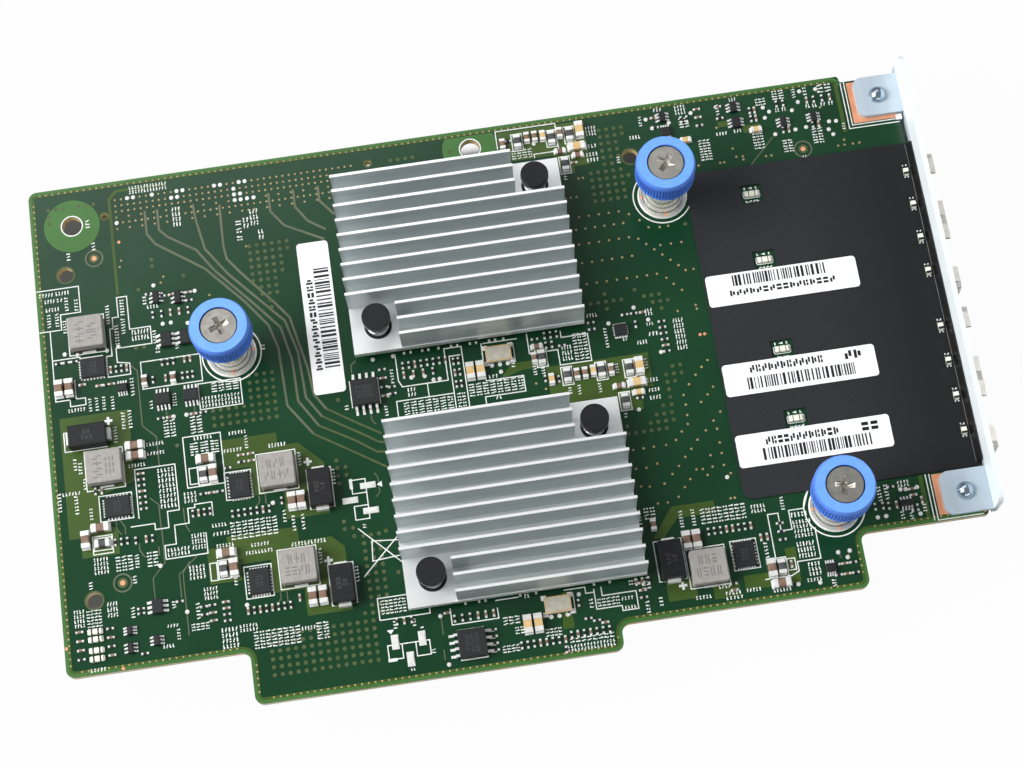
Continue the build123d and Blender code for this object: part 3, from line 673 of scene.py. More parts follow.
vias([
    *run(108.2, 68.6, 1.52, 0, 5), *run(118.8, 68.6, 1.5, 0, 3), *run(120.3, 67.1, 1.5, 0, 3),
    (111.2, 70.2), (117.2, 70.2), (111.2, 67.1), (121.8, 65.6), (129.4, 82.4),
    *run(111.2, 41.2, 1.5, 0, 6), *run(115.8, 42.7, 1.5, 0, 4), *run(117.2, 44.2, 1.5, 0, 3),
    (111.2, 42.7), (118.8, 45.8), (120.4, 45.8), (120.4, 47.3), (120.4, 48.9), (120.4, 50.4),
    (121.9, 50.4), (120.4, 51.9), (121.9, 51.9), (123.4, 51.9), (121.9, 53.5), (123.4, 53.5),
    (20.3, 85.4), (23.4, 91.4), (23.4, 90.0), (29.4, 87.0), (24.8, 52.2), (18.7, 73.3), (20.3, 73.3),
    (3.8, 105.1), (5.3, 105.1), (6.8, 105.1), (9.9, 105.1), (11.4, 105.1), (12.9, 105.1), (3.8, 103.6),
    (3.8, 102.1), (73.2, 105.2), (74.7, 105.2), (76.2, 105.2), (77.7, 105.2), (85.3, 105.2),
])
fan = [
    *run(108.8, 87.1, 2.0, 0, 5), *run(107.8, 84.5, 1.9, 0, 6), *run(107.9, 81.3, 2.0, 0, 6),
    *run(107.9, 77.3, 2.0, 0, 6), *run(108.1, 72.8, 2.0, 0, 8), *run(119.7, 80.7, 1.38, -1.35, 6),
    *run(123.8, 78.7, 2.1, 0, 3), (122.1, 82.8), (124.3, 82.5), (126.0, 82.5), (127.8, 72.7),
    (129.4, 72.7), (120.6, 84.6), (118.7, 86.2), (123.8, 71.7), (125.0, 70.2), (126.4, 68.7),
    (128.5, 65.2), (128.6, 64.4), (124.8, 64.5), (128.8, 53.6), (127.4, 52.4), (126.0, 51.0),
    (124.4, 49.3), (128.9, 48.1), (123.0, 47.3), (127.6, 46.7), (126.1, 45.4), (123.1, 45.3),
    (123.0, 43.2), (129.4, 42.9), (122.8, 41.4), (127.8, 41.3), (121.4, 40.1), (126.0, 39.6),
    (128.2, 39.6), (120.0, 38.6), (111.6, 37.9), (113.6, 37.9), (115.6, 37.9), (118.0, 37.9),
    (124.1, 38.0), (128.2, 36.8), (122.6, 36.4), (126.0, 34.6), (128.2, 34.7), (121.2, 35.0),
    (111.5, 34.1), (113.5, 34.0), (115.7, 34.5), (119.7, 33.4), (118.2, 32.0), (122.9, 32.2),
    (124.1, 32.1), (126.0, 32.3), (128.2, 32.3), (129.2, 30.5), (121.4, 30.5), (124.8, 30.8),
    (116.4, 30.4), (113.5, 30.2), (111.9, 30.5), (120.1, 29.1), (118.6, 27.4), (116.4, 26.6),
    (114.5, 26.7), (128.3, 25.6), (129.1, 25.6), (139.2, 102.0), (141.6, 97.0), (142.0, 95.1),
    (143.3, 95.0), (143.3, 94.3), (147.9, 94.3), (149.0, 94.3), (138.6, 94.3), (139.4, 94.3),
    (162.6, 94.3), (163.9, 94.3), (165.6, 94.3), (166.9, 94.3), (164.0, 95.4), (106.8, 91.5),
    (107.8, 91.5), (109.0, 91.5), (110.0, 95.4), (110.9, 95.4), (134.2, 94.4), (160.6, 103.2),
    (34.1, 82.1), (25.4, 87.4), (24.8, 86.2), (17.4, 92.1), (17.0, 90.8), (42.4, 91.3), (96.9, 52.6),
    (95.2, 54.0),
]
open_vias(fan)

# Rings at the holes and the round targets, as inner and outer radius
large_ring, guide_ring, pin_ring = (2.0, 2.24), (1.57, 1.88), (0.58, 0.92)
target_ring, target_collar, target_r, point_r = (1.55, 1.85), (0.5, 0.95), 0.5, 0.32
for x, y in large_holes:
    print_ink.ring(x, y, *large_ring, 0, ink_top)
for x, y in ((6.2, 90.7), (6.4, 24.2), (121.0, 98.5)):
    plugs.ring(x, y, *guide_ring, 0, via_top)
for x, y in ((14.9, 102.1), (68.6, 105.25)):
    plugs.ring(x, y, *pin_ring, 0, via_top, 24)
for x, y in ((12.1, 93.4), (12.0, 26.8), (155.5, 94.7)):
    lines.ring(x, y, *target_ring, 0, trace_top, 32)
    plugs.ring(x, y, *target_collar, 0, via_top, 24)
    bare_copper.disc(x, y, target_r, 0, ink_top, 20)
for x, y in ((17.3, 96.1), (0.4, 15.8), (10.7, 10.5), (128.3, 59.0), (129.2, 59.0)):
    bare_copper.disc(x, y, point_r, 0, ink_top, 12)

# Printed rings round the screws, painted shadow lines at the steps of the ferrules, and copper under the
# faceplate tabs
step_shadows = Shape()
step_shadow_rings = [(4.0, 4.13, 0.79, 0.815), (3.5, 3.6, 1.99, 2.015)]
screw_ring, screw_solder, screw_solder_high = (5.68, 5.92), (4.3, 4.95), 0.14
spot_out, spot_size, spot_low, spot_high = 4.4, 0.55, 0.78, 0.83
for x, y in screws.values():
    for shadow_ring in step_shadow_rings:
        step_shadows.ring(x, y, *shadow_ring, 60)
    print_ink.ring(x, y, *screw_ring, 0, ink_top, 72)
    solder.ring(x, y, *screw_solder, 0, screw_solder_high, 60)
    for turn in range(4):
        angle = math.radians(90 * turn)
        spot = (x + spot_out * math.cos(angle), y + spot_out * math.sin(angle))
        bare_copper.block(*spot, spot_size, spot_size, spot_low, spot_high)
bare_copper.box(166.7, 98.6, 175.6, 107.6, 0, pour_top)
bare_copper.box(166.7, 15.7, 175.6, 24.4, 0, pour_top)
print_lines(
    [(165.6, 107.9), (165.6, 97.6), (175.8, 97.6)],
    [(166.3, 107.9), (166.3, 98.3), (175.8, 98.3)],
    [(165.6, 24.6), (165.6, 15.5)],
    [(166.3, 24.6), (166.3, 15.45), (175.0, 15.45)],
)
solder.box(175.2, 98.0, 176.4, 99.2, 0, 0.3)

# Printed outlines
print_lines(
    [(0.1, 88.0), (8.5, 88.0), (8.5, 82.5), (4.5, 82.5), (4.5, 79.3), (0.1, 79.3)],
    [(2.2, 79.3), (2.2, 64.6), (6.2, 64.6), (6.2, 68.6)],
    [(2.2, 73.1), (7.6, 73.1), (7.6, 71.2)],
)
outline(
    (15.8, 84.4), (17.8, 84.4), (17.8, 77.4), (21.9, 77.4), (21.9, 73.8), (14.8, 73.8), (14.8, 70.9),
    (17.2, 70.4), (17.2, 68.1), (12.8, 68.1), (12.8, 72.4), (13.9, 72.4), (13.9, 78.0), (14.6, 78.0),
    (14.6, 80.3), (15.8, 80.3),
)
print_lines(
    [(16.2, 38.8), (16.2, 48.6), (24.0, 48.6), (24.0, 39.4), (21.7, 39.4), (21.7, 36.2), (19.1, 36.2),
     (19.1, 37.4), (14.5, 37.4)],
    [(20.6, 30.1), (28.6, 30.1), (28.6, 34.2)],
    [(20.6, 30.1), (20.6, 32.8), (22.8, 32.8), (22.8, 36.5), (25.6, 36.5), (25.6, 39.4), (27.0, 39.4),
     (27.0, 40.0), (30.3, 40.0), (30.3, 37.2)],
    [(68.8, 64.2), (68.8, 58.6), (69.4, 57.3), (78.4, 57.3), (78.4, 63.8), (81.8, 63.8), (81.8, 51.2)],
    [(79.2, 51.2), (79.2, 62.1), (81.4, 62.1)],
    [(67.9, 51.2), (67.9, 54.5), (79.2, 54.5)],
    [(74.3, 54.5), (74.3, 57.3)],
    [(85.7, 63.8), (85.7, 56.0), (93.0, 56.0), (93.0, 52.8), (85.1, 52.8), (85.1, 51.2)],
    [(86.0, 63.7), (92.8, 63.7)],
    [(94.8, 64.4), (94.8, 60.2), (100.4, 60.2), (100.4, 57.0), (106.6, 57.0), (106.6, 62.6),
     (101.4, 62.6), (101.4, 64.0)],
    [(94.9, 104.2), (94.9, 108.1), (107.1, 108.1), (107.1, 102.0), (102.0, 102.0), (102.0, 101.2)],
    [(99.8, 12.2), (99.8, 8.3), (104.6, 8.3), (104.6, 7.3), (107.6, 7.3), (107.6, 10.7), (101.2, 10.7),
     (101.2, 12.4)],
    [(94.2, 12.8), (98.2, 12.8), (98.2, 11.6), (99.8, 11.6)],
    [(72.6, 12.6), (72.6, 9.4), (81.4, 9.4), (81.4, 11.4)],
    [(81.2, 12.8), (85.6, 12.8)],
    [(59.3, 12.3), (59.3, 16.5), (64.8, 16.5)],
    [(59.3, 12.3), (68.8, 12.3), (68.8, 13.3)],
    [(134.6, 13.0), (134.6, 21.4), (136.6, 21.4), (136.6, 17.9), (138.7, 17.9), (138.7, 21.6),
     (141.6, 21.6)],
    [(131.9, 9.1), (137.0, 9.1), (138.5, 9.8), (138.5, 11.6), (143.0, 11.6), (143.0, 17.6)],
    [(141.6, 21.6), (143.0, 24.8)],
)
for box in (
    (30.0, 58.7, 38.3, 64.0), (7.6, 68.4, 11.9, 72.8), (5.7, 73.6, 12.9, 81.4), (6.8, 45.6, 14.2, 53.6),
    (8.9, 39.2, 15.2, 44.3), (19.3, 64.6, 31.0, 70.2), (26.0, 43.4, 33.3, 53.6),
    (33.2, 39.8, 38.3, 45.3), (39.6, 40.2, 47.2, 48.0), (35.0, 20.1, 40.2, 26.3),
    (41.6, 20.9, 49.0, 28.6), (3.2, 54.1, 11.4, 58.0), (48.9, 35.6, 53.6, 43.5),
    (50.8, 16.4, 55.6, 24.3), (112.3, 11.6, 117.6, 19.4), (117.9, 9.4, 125.4, 17.0),
    (126.6, 11.6, 131.5, 17.3), (111.9, 60.8, 114.2, 63.6), (59.3, 54.6, 64.8, 59.9),
    (73.4, 2.5, 78.4, 8.2), (5.0, 63.2, 8.0, 64.6), (7.0, 33.0, 10.8, 36.5), (26.6, 44.0, 28.2, 47.2),
    (28.7, 24.6, 30.0, 28.0), (136.6, 10.2, 138.1, 12.4),
):
    outline_box(*box)
plus_long, plus_thick = 1.6, 0.5
for x, y in ((12.0, 59.2), (49.4, 45.1), (51.1, 25.2), (116.5, 10.3)):
    print_ink.block(x, y, plus_long, plus_thick, 0, ink_top)
    print_ink.block(x, y, plus_thick, plus_long, 0, ink_top)
print_lines([(57.4, 30.5), (65.2, 22.5)], [(57.4, 21.0), (64.9, 28.2)])
outline((59.4, 23.8), (64.8, 24.2), (64.8, 27.2), (59.7, 27.7))

# Printed words: single ones, then blocks with their number of words
for box in (
    (0.5, 86.6, 3.5, 87.4), (3.8, 86.6, 6.7, 87.4), (1.5, 85.2, 3.7, 86.0), (3.9, 85.2, 5.3, 86.0),
    (5.5, 83.0, 6.2, 86.2), (7.4, 82.8, 8.1, 85.5), (1.6, 83.4, 4.5, 84.2), (1.8, 80.0, 2.5, 83.0),
    (3.4, 80.0, 4.1, 83.0), (4.8, 78.4, 5.5, 81.3), (13.4, 79.0, 14.1, 83.2), (16.3, 80.4, 17.1, 84.0),
    (16.2, 76.5, 17.0, 80.0), (14.8, 74.5, 15.6, 78.8), (22.2, 73.6, 22.9, 76.6),
    (22.5, 71.5, 23.3, 73.0), (26.4, 71.8, 27.0, 73.5), (6.7, 93.6, 7.4, 95.5),
    (11.8, 95.0, 12.5, 97.0), (11.0, 100.0, 11.8, 102.0), (16.9, 63.5, 17.6, 67.5),
    (4.4, 62.0, 7.9, 62.7), (14.6, 57.0, 15.3, 60.7), (15.9, 57.0, 16.6, 61.0),
    (12.8, 54.5, 13.5, 58.0), (4.6, 50.0, 5.2, 52.7), (5.5, 49.2, 6.2, 51.8), (6.2, 46.0, 6.9, 48.5),
    (4.2, 41.3, 4.9, 45.3), (1.0, 42.2, 1.7, 46.2), (1.9, 45.3, 5.6, 46.0), (6.9, 39.8, 7.5, 42.4),
    (15.0, 49.1, 18.5, 49.8), (18.8, 52.9, 22.4, 53.6), (18.8, 51.0, 22.4, 51.7),
    (43.1, 69.0, 43.8, 70.4), (20.9, 82.0, 21.6, 84.0), (21.5, 81.1, 24.0, 81.8),
    (20.3, 60.2, 20.9, 62.2), (24.8, 60.2, 25.6, 63.0), (8.5, 61.5, 9.1, 64.5), (9.8, 61.5, 10.4, 64.5),
    (11.2, 61.5, 11.8, 64.5), (12.9, 61.3, 13.5, 64.3), (28.0, 52.7, 31.8, 53.4),
    (34.8, 52.7, 38.4, 53.4), (37.8, 49.5, 38.4, 52.4), (33.5, 49.3, 37.2, 50.0),
    (42.2, 49.0, 45.7, 49.8), (47.6, 44.5, 48.2, 47.5), (43.5, 33.8, 44.1, 36.5),
    (45.1, 31.8, 45.7, 35.2), (46.9, 31.8, 47.5, 35.2), (29.8, 34.9, 32.8, 35.6),
    (29.8, 33.2, 33.2, 33.9), (30.2, 30.8, 33.8, 31.5), (36.8, 30.0, 40.4, 30.7),
    (35.6, 28.6, 41.0, 29.3), (44.4, 28.9, 51.2, 29.7), (25.3, 17.6, 26.0, 21.0),
    (44.5, 12.6, 47.3, 13.3), (33.0, 23.0, 33.6, 25.4), (13.1, 19.7, 13.8, 22.0),
    (20.9, 20.4, 21.6, 22.0), (19.5, 16.9, 21.8, 17.5), (21.3, 14.3, 21.9, 16.6),
    (18.4, 13.1, 20.7, 13.8), (4.5, 10.6, 7.6, 11.3), (5.6, 26.3, 6.3, 28.0), (14.0, 26.2, 14.7, 28.0),
    (53.6, 39.8, 54.3, 43.2), (55.8, 20.2, 56.5, 23.6), (49.4, 24.8, 50.0, 28.0),
    (58.4, 30.4, 59.0, 31.4), (68.2, 4.6, 68.9, 5.6), (63.8, 2.0, 64.8, 2.5), (66.6, 9.5, 67.2, 10.2),
    (57.8, 54.2, 58.5, 55.4), (67.4, 58.2, 68.0, 61.4), (65.4, 51.8, 66.0, 54.2),
    (86.2, 56.4, 88.2, 57.1), (91.0, 57.9, 91.7, 60.2), (87.0, 52.0, 88.4, 52.6),
    (106.9, 65.8, 109.2, 66.6), (95.0, 55.6, 95.7, 57.8), (96.6, 55.6, 97.3, 57.8),
    (109.8, 59.0, 110.4, 63.4), (115.8, 58.8, 118.0, 59.6), (118.3, 60.2, 120.4, 61.0),
    (113.2, 60.0, 114.2, 60.6), (118.2, 62.4, 119.8, 63.0), (116.5, 53.6, 117.2, 56.0),
    (116.4, 50.9, 118.8, 51.7), (116.4, 48.9, 118.8, 49.6), (116.4, 47.3, 118.8, 48.1),
    (111.0, 44.4, 111.6, 45.6), (110.8, 53.6, 111.5, 55.8), (103.0, 50.4, 103.6, 52.6),
    (107.0, 50.2, 107.6, 52.4), (101.2, 50.8, 101.8, 52.4), (112.2, 101.6, 114.8, 102.4),
    (112.2, 99.8, 114.8, 100.6), (112.2, 98.6, 114.8, 99.4), (107.2, 95.4, 107.8, 97.8),
    (118.2, 97.4, 118.9, 99.0), (121.4, 102.1, 123.8, 102.9), (123.9, 104.6, 124.5, 107.0),
    (127.1, 107.4, 129.0, 108.2), (142.6, 107.3, 144.2, 108.0), (138.8, 100.2, 141.2, 100.9),
    (142.4, 100.3, 144.2, 101.0), (139.7, 104.6, 140.3, 107.2), (164.2, 97.6, 164.8, 99.2),
    (155.0, 92.9, 156.0, 93.3), (137.4, 21.8, 138.1, 24.6), (118.0, 21.3, 118.7, 24.8),
    (120.3, 21.3, 121.0, 24.8), (132.8, 13.0, 133.5, 16.4), (118.4, 7.2, 121.6, 7.9),
    (123.0, 8.6, 125.4, 9.4), (124.0, 7.2, 127.2, 7.9), (124.0, 6.3, 127.4, 6.9),
    (128.0, 7.2, 131.0, 7.9), (133.0, 6.4, 136.6, 7.1), (155.5, 106.0, 156.2, 108.2),
    (157.8, 106.2, 158.5, 108.3), (163.9, 17.4, 164.6, 19.2), (159.5, 16.6, 160.2, 18.4),
    (161.2, 16.3, 161.9, 17.9), (139.6, 7.4, 142.6, 8.1), (104.6, 9.2, 107.0, 9.9),
    (105.0, 7.5, 107.3, 8.1), (109.0, 6.0, 109.7, 8.6), (111.6, 7.0, 112.3, 9.0),
    (98.6, 8.6, 99.3, 10.6), (86.6, 12.4, 87.8, 13.2), (144.2, 5.8, 145.0, 7.4),
):
    word(*box)
for block in (
    (18.0, 74.7, 21.6, 77.2, 2), (20.4, 40.0, 23.8, 48.2, 8), (24.6, 25.3, 27.9, 28.2, 4),
    (27.0, 21.0, 29.8, 23.6, 3), (29.5, 11.2, 32.8, 15.4, 4), (33.0, 13.9, 36.6, 15.5, 2),
    (2.2, 19.3, 4.4, 22.9, 4), (8.6, 20.4, 10.8, 23.6, 3), (30.3, 58.9, 38.0, 61.3, 3),
    (25.0, 40.4, 27.7, 42.7, 3), (6.8, 29.0, 9.8, 32.4, 4), (25.7, 31.0, 28.5, 34.4, 3),
    (20.9, 30.4, 25.4, 32.2, 2), (28.3, 97.6, 30.2, 102.0, 4), (20.2, 106.0, 28.0, 107.9, 2),
    (40.8, 92.4, 41.9, 97.4, 3), (42.2, 95.0, 43.6, 97.6, 2), (43.7, 95.4, 45.6, 99.2, 3),
    (45.0, 92.2, 46.3, 94.6, 2), (118.3, 64.4, 120.0, 66.0, 2), (123.4, 56.4, 125.6, 63.2, 6),
    (112.9, 104.2, 115.2, 106.4, 3), (131.4, 106.0, 133.8, 108.2, 3), (70.2, 55.0, 72.0, 57.0, 2),
    (131.6, 22.0, 134.6, 23.8, 2), (138.8, 20.0, 142.2, 21.2, 1), (138.9, 16.0, 142.6, 19.6, 4),
    (138.9, 12.0, 142.4, 15.4, 3), (140.2, 8.4, 142.8, 11.2, 3), (159.9, 22.8, 162.4, 24.2, 2),
    (101.0, 57.6, 103.2, 61.0, 3), (93.2, 1.0, 102.4, 2.4, 2),
):
    words(*block)
for block in (
    (10.9, 29.0, 14.4, 32.2, 3), (14.6, 29.2, 15.6, 32.0, 1), (16.9, 29.0, 19.2, 32.2, 2),
    (4.6, 19.0, 7.6, 22.6, 4), (33.2, 31.8, 42.4, 35.6, 8), (35.4, 10.3, 44.4, 13.9, 8),
    (47.2, 10.4, 49.8, 13.9, 2), (24.0, 15.5, 27.6, 17.1, 4), (32.4, 61.8, 38.0, 64.0, 4),
    (22.4, 54.0, 25.0, 57.8, 2), (27.6, 54.0, 30.2, 57.8, 2), (27.0, 49.6, 33.0, 52.4, 3),
    (69.0, 51.4, 79.0, 54.2, 7), (79.6, 51.4, 81.4, 54.6, 2), (82.0, 53.2, 93.0, 56.0, 8),
    (59.7, 13.2, 64.6, 16.2, 6), (61.6, 10.2, 62.4, 12.0, 1), (65.2, 10.2, 66.0, 12.0, 1),
    (121.9, 21.3, 130.8, 24.6, 8), (134.9, 95.2, 137.4, 100.0, 3), (145.9, 96.0, 148.2, 99.8, 3),
    (147.8, 105.4, 150.0, 107.2, 3), (151.3, 106.2, 154.0, 108.4, 2), (151.3, 103.5, 154.0, 104.3, 2),
    (157.5, 103.4, 160.3, 104.2, 2), (160.5, 103.4, 163.7, 104.2, 2), (160.5, 106.3, 163.7, 108.4, 2),
    (157.8, 95.4, 160.2, 99.0, 2), (151.6, 94.4, 153.8, 97.4, 2), (103.4, 57.4, 106.4, 63.2, 3),
    (97.4, 101.4, 101.8, 103.6, 4), (93.8, 2.6, 102.4, 3.8, 8), (81.2, 2.6, 84.6, 4.2, 4),
    (110.2, 23.0, 111.0, 26.2, 1), (155.8, 20.6, 156.8, 23.8, 1), (157.2, 20.8, 158.2, 24.0, 1),
    (108.8, 10.6, 110.6, 13.2, 2), (131.8, 103.0, 134.0, 105.4, 2), (82.0, 7.8, 85.4, 9.6, 3),
    (84.0, 5.8, 86.0, 7.4, 2), (89.6, 4.4, 92.8, 6.2, 4), (106.4, 11.8, 108.4, 13.0, 2),
    (100.0, 8.6, 104.4, 10.4, 5), (111.4, 23.8, 113.8, 26.4, 2),
):
    words(*block, upright=True)

# Tiny two-ended parts, in runs along or across the card
passives([
    *run(3.4, 72.3, 1.5, 0, 3), (13.3, 66.6), (7.6, 67.3), *run(10.9, 66.6, 1.4, 0, 2),
    *run(17.3, 40.6, 0, 1.17, 7), *run(22.2, 58.1, 1.75, 0, 2), *run(28.6, 58.1, 1.9, 0, 2),
    *run(3.1, 13.3, 0, 1.75, 4), *run(8.9, 13.3, 0, 1.7, 4), *run(15.0, 21.3, 0, -0.9, 2), (22.4, 21.6),
    (15.0, 12.7), *run(31.0, 20.2, 0, -1.2, 4), *run(28.4, 20.0, 0, -1.5, 3),
    *run(26.8, 19.9, 0, -1.5, 2), *run(28.9, 41.8, 1.6, 0, 3), *run(24.8, 83.3, 1.9, 0, 2),
    *run(30.0, 83.3, 0, -1.7, 2), (22.2, 84.1), *run(65.9, 61.4, 0, -1.8, 4),
    *run(67.4, 57.6, 0, -1.4, 2), *run(121.3, 56.6, 0, 1.25, 6), *run(114.4, 65.3, 1.8, 0, 3),
    *run(107.6, 63.3, 0, 1.4, 2), *run(80.0, 7.4, 0, -1.3, 4), (72.0, 11.8),
    *run(98.0, 6.8, 1.5, -0.6, 3), *run(36.8, 48.4, 1.9, 0, 2), *run(36.8, 47.0, 1.9, 0, 2),
    (34.0, 46.2), *run(108.9, 9.2, 0, 1.4, 3), *run(125.9, 9.2, 0, -1.2, 2),
    *run(136.6, 16.2, 0, 1.6, 3), *run(140.2, 103.9, 0, 2.6, 2), *run(145.6, 9.9, 1.6, 0, 3),
    *run(145.7, 7.9, 1.6, 0, 3), (101.3, 60.9), (96.2, 63.0), (114.6, 48.0), (109.6, 98.9),
    (158.6, 23.2), *run(162.6, 21.0, 0, 1.2, 2), *run(162.4, 19.0, 0, -1.0, 2),
    *run(135.9, 103.0, 0, 1.8, 3), (97.2, 105.6), *run(127.0, 103.9, 0, 2.2, 2),
])
passives([
    *run(13.4, 69.5, 1.05, 0, 4), *run(22.6, 79.6, 1.75, 0, 5), *run(23.5, 69.5, 1.1, 0, 3),
    *run(27.9, 69.5, 1.1, 0, 2), (21.4, 66.2), (23.9, 66.2), *run(27.2, 66.2, 1.0, 0, 3),
    *run(11.3, 34.8, 1.15, 0, 3), (15.2, 34.6), *run(17.2, 34.6, 1.2, 0, 2),
    *run(34.0, 37.0, 1.18, 0, 7), *run(35.0, 17.8, 1.15, 0, 8), *run(26.5, 38.2, 1.1, 0, 4),
    *run(8.4, 45.4, 1.2, 0, 2), *run(70.0, 61.5, 1.2, 0, 8), *run(79.9, 60.9, 0.95, 0, 2),
    *run(79.9, 58.6, 0.95, 0, 2), *run(79.9, 56.2, 0.95, 0, 2), *run(70.0, 59.6, 1.9, 0, 4),
    *run(73.2, 10.5, 1.48, 0, 6), *run(84.9, 3.6, 1.18, 0, 8), *run(94.4, 4.2, 1.2, 0, 7), (93.0, 1.6),
    *run(98.2, 63.4, 1.2, 0, 3), *run(98.2, 61.4, 1.2, 0, 2), *run(123.0, 19.8, 1.16, 0, 8),
    *run(107.9, 12.3, 1.2, 0, 3), *run(132.4, 104.8, 1.2, 0, 2), *run(146.4, 104.6, 1.0, 0, 2),
    *run(146.4, 102.8, 1.0, 0, 2), *run(152.3, 99.4, 1.2, 0, 2), *run(158.4, 99.6, 1.2, 0, 2),
    (97.1, 54.7), (99.7, 54.2), *run(155.0, 19.8, 1.5, 0, 2), *run(157.6, 19.6, 1.5, 0, 2),
    *run(132.6, 17.2, 1.2, 0, 2), *run(152.0, 105.2, 1.35, 0, 2), *run(158.2, 105.1, 1.4, 0, 2),
    *run(161.3, 105.1, 1.6, 0, 2), (116.2, 63.0), (43.6, 38.2), (44.9, 18.9),
    *run(62.4, 11.6, 1.4, 0, 3), *run(94.6, 10.6, 0, -2.0, 2), (96.6, 10.0), (164.0, 19.8),
    (137.35, 11.3),
], upright=True)
blob(
    (4.7, 74.1), (7.2, 73.6), (13.0, 73.6), (15.3, 74.1), (23.3, 85.8), (24.4, 77.5), (26.0, 77.5),
    (31.3, 83.4), (29.3, 76.9), (24.7, 58.1), (27.2, 58.1), (23.6, 19.4), (64.4, 63.7), (68.4, 63.8),
    (66.4, 56.0), (71.0, 2.1), (70.6, 11.4), (114.0, 45.7), (128.4, 29.8), (116.4, 66.5), (111.0, 64.0),
    (118.8, 63.6), (120.2, 56.6), (134.6, 106.0), (125.4, 106.0), (126.4, 103.9), (129.9, 104.6),
    (150.3, 103.8), (149.2, 102.6), (149.2, 104.9), (154.9, 103.4), (156.4, 105.0), (157.1, 107.3),
    (160.4, 107.3), (150.6, 98.7), (154.8, 99.1), (157.0, 99.3), (161.8, 99.8), (163.2, 99.7),
    (161.4, 98.1), (162.1, 96.9), (146.4, 12.2), (148.6, 12.2), (148.0, 11.0), (155.1, 17.7),
    (156.7, 17.7), (163.6, 22.4), (160.4, 22.4), (161.4, 22.3), (163.2, 17.2), (137.9, 7.3),
    (134.6, 12.6), (96.9, 11.6), (102.3, 104.3), (142.0, 7.0), (34.9, 19.0), (41.9, 38.0), (19.4, 29.0),
    (71.4, 58.9), (74.0, 58.8), (75.6, 57.8), (76.8, 57.8), (88.8, 57.4),
)

# White dots among the via rows, and pads peeping out below the upper heatsink
blob(
    *((x, 105.3) for x in (19.8, 21.0, 24.8, 29.8, 31.0, 37.4, 38.6, 42.4, 43.6)),
    (28.6, 104.0), (29.8, 104.0), (41.2, 104.0), (41.2, 102.75), (42.4, 102.75), (17.25, 100.25),
    *((x, 101.5) for x in (41.2, 42.4, 43.7, 45.0)),
)
row_pad = (0.45, 0.55)
solder_row = [(x, 64.1) for x in (70.6, 71.9, 74.2, 75.4, 77.4, 79.9, 81.1, 83.6, 84.8, 87.4, 88.6, 90.2)]
for x, y in solder_row + [(x, 13.1) for x in (75.6, 78.2, 79.4, 86.0, 89.0, 100.0, 103.0)]:
    solder.block(x, y, *row_pad, 0, pad_top)

# Jumper footprints, each a pad with a smaller one on it
jumper_low, jumper_high = 0.1, 0.22
jumper_wide, jumper_deep = 0.8, 0.7
for x, y, wide, deep in (
    (60.3, 38.7, 3.0, 1.2), (56.6, 36.2, 3.0, 1.2), (60.3, 33.7, 3.0, 1.2),
    (61.6, 7.8, 1.4, 2.8), (66.7, 7.8, 1.4, 2.8), (64.1, 4.2, 1.4, 2.8),
):
    solder.block(x, y, wide, deep, 0, jumper_low)
    solder.block(x, y, wide * jumper_wide, deep * jumper_deep, jumper_low, jumper_high)
for box in (
    (57.2, 32.2, 59.9, 34.9), (57.2, 37.4, 59.9, 40.1), (60.1, 4.6, 62.8, 7.3), (65.4, 4.6, 68.0, 7.3),
):
    outline_box(*box)
print_lines([(59.9, 34.9), (59.9, 37.4)], [(62.8, 7.3), (65.4, 7.3)])
print_ink.prism([(62.0, 38.6), (63.0, 38.0), (63.0, 39.2)], 0, ink_top)
print_ink.prism([(61.0, 9.4), (61.7, 10.2), (60.3, 10.2)], 0, ink_top)
print_ink.box(56.8, 38.4, 57.4, 40.4, 0, ink_top)
print_ink.box(59.9, 4.2, 61.6, 4.8, 0, ink_top)


# Ends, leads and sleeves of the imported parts
def islands(name):
    """The separate solids of a CAD node, as boxes in card millimetres: x0, y0, x1, y1, z1."""
    mesh = nodes[name].data
    keys = [tuple(round(c * microns) for c in v.co) for v in mesh.vertices]
    parent = {key: key for key in keys}

    def root(key):
        while parent[key] != key:
            parent[key] = parent[parent[key]]
            key = parent[key]
        return key

    for polygon in mesh.polygons:
        corners = [root(keys[i]) for i in polygon.vertices]
        for corner in corners[1:]:
            parent[root(corner)] = root(corners[0])
    groups = {}
    for key in parent:
        groups.setdefault(root(key), []).append(key)
    boxes = []
    for points in groups.values():
        low = [min(p[i] for p in points) * micron - origin[i] for i in range(3)]
        high = [max(p[i] for p in points) * micron - origin[i] for i in range(3)]
        boxes.append((low[0] / MM, low[1] / MM, high[0] / MM, high[1] / MM, high[2] / MM))
    return sorted(boxes)


# Solder feet, as shares of a part's height, and bent leads
cap_foot = 0.3
lead_level = 0.5
lead_root, lead_thick, lead_foot = 0.1, 0.12, 0.16
knee_near, knee_far = 0.3, 0.45
flat_pad_high = 0.18
corner_gap = 0.8


def end_caps(name, share, skin, beyond):
    """Tinned ends that wrap both ends of each part, on a pad that reaches a little beyond."""
    for x0, y0, x1, y1, top in islands(name):
        upright = y1 - y0 > x1 - x0
        u0, v0, u1, v1 = (y0, x0, y1, x1) if upright else (x0, y0, x1, y1)
        along = (u1 - u0) * share
        for start, end, foot_start, foot_end in (
            (u0 - skin, u0 + along, u0 - beyond, u0),
            (u1 - along, u1 + skin, u1, u1 + beyond),
        ):
            solder.lay(upright, start, v0 - skin, end, v1 + skin, 0, top + skin)
            solder.lay(upright, foot_start, v0 - skin, foot_end, v1 + skin, 0, top * cap_foot)


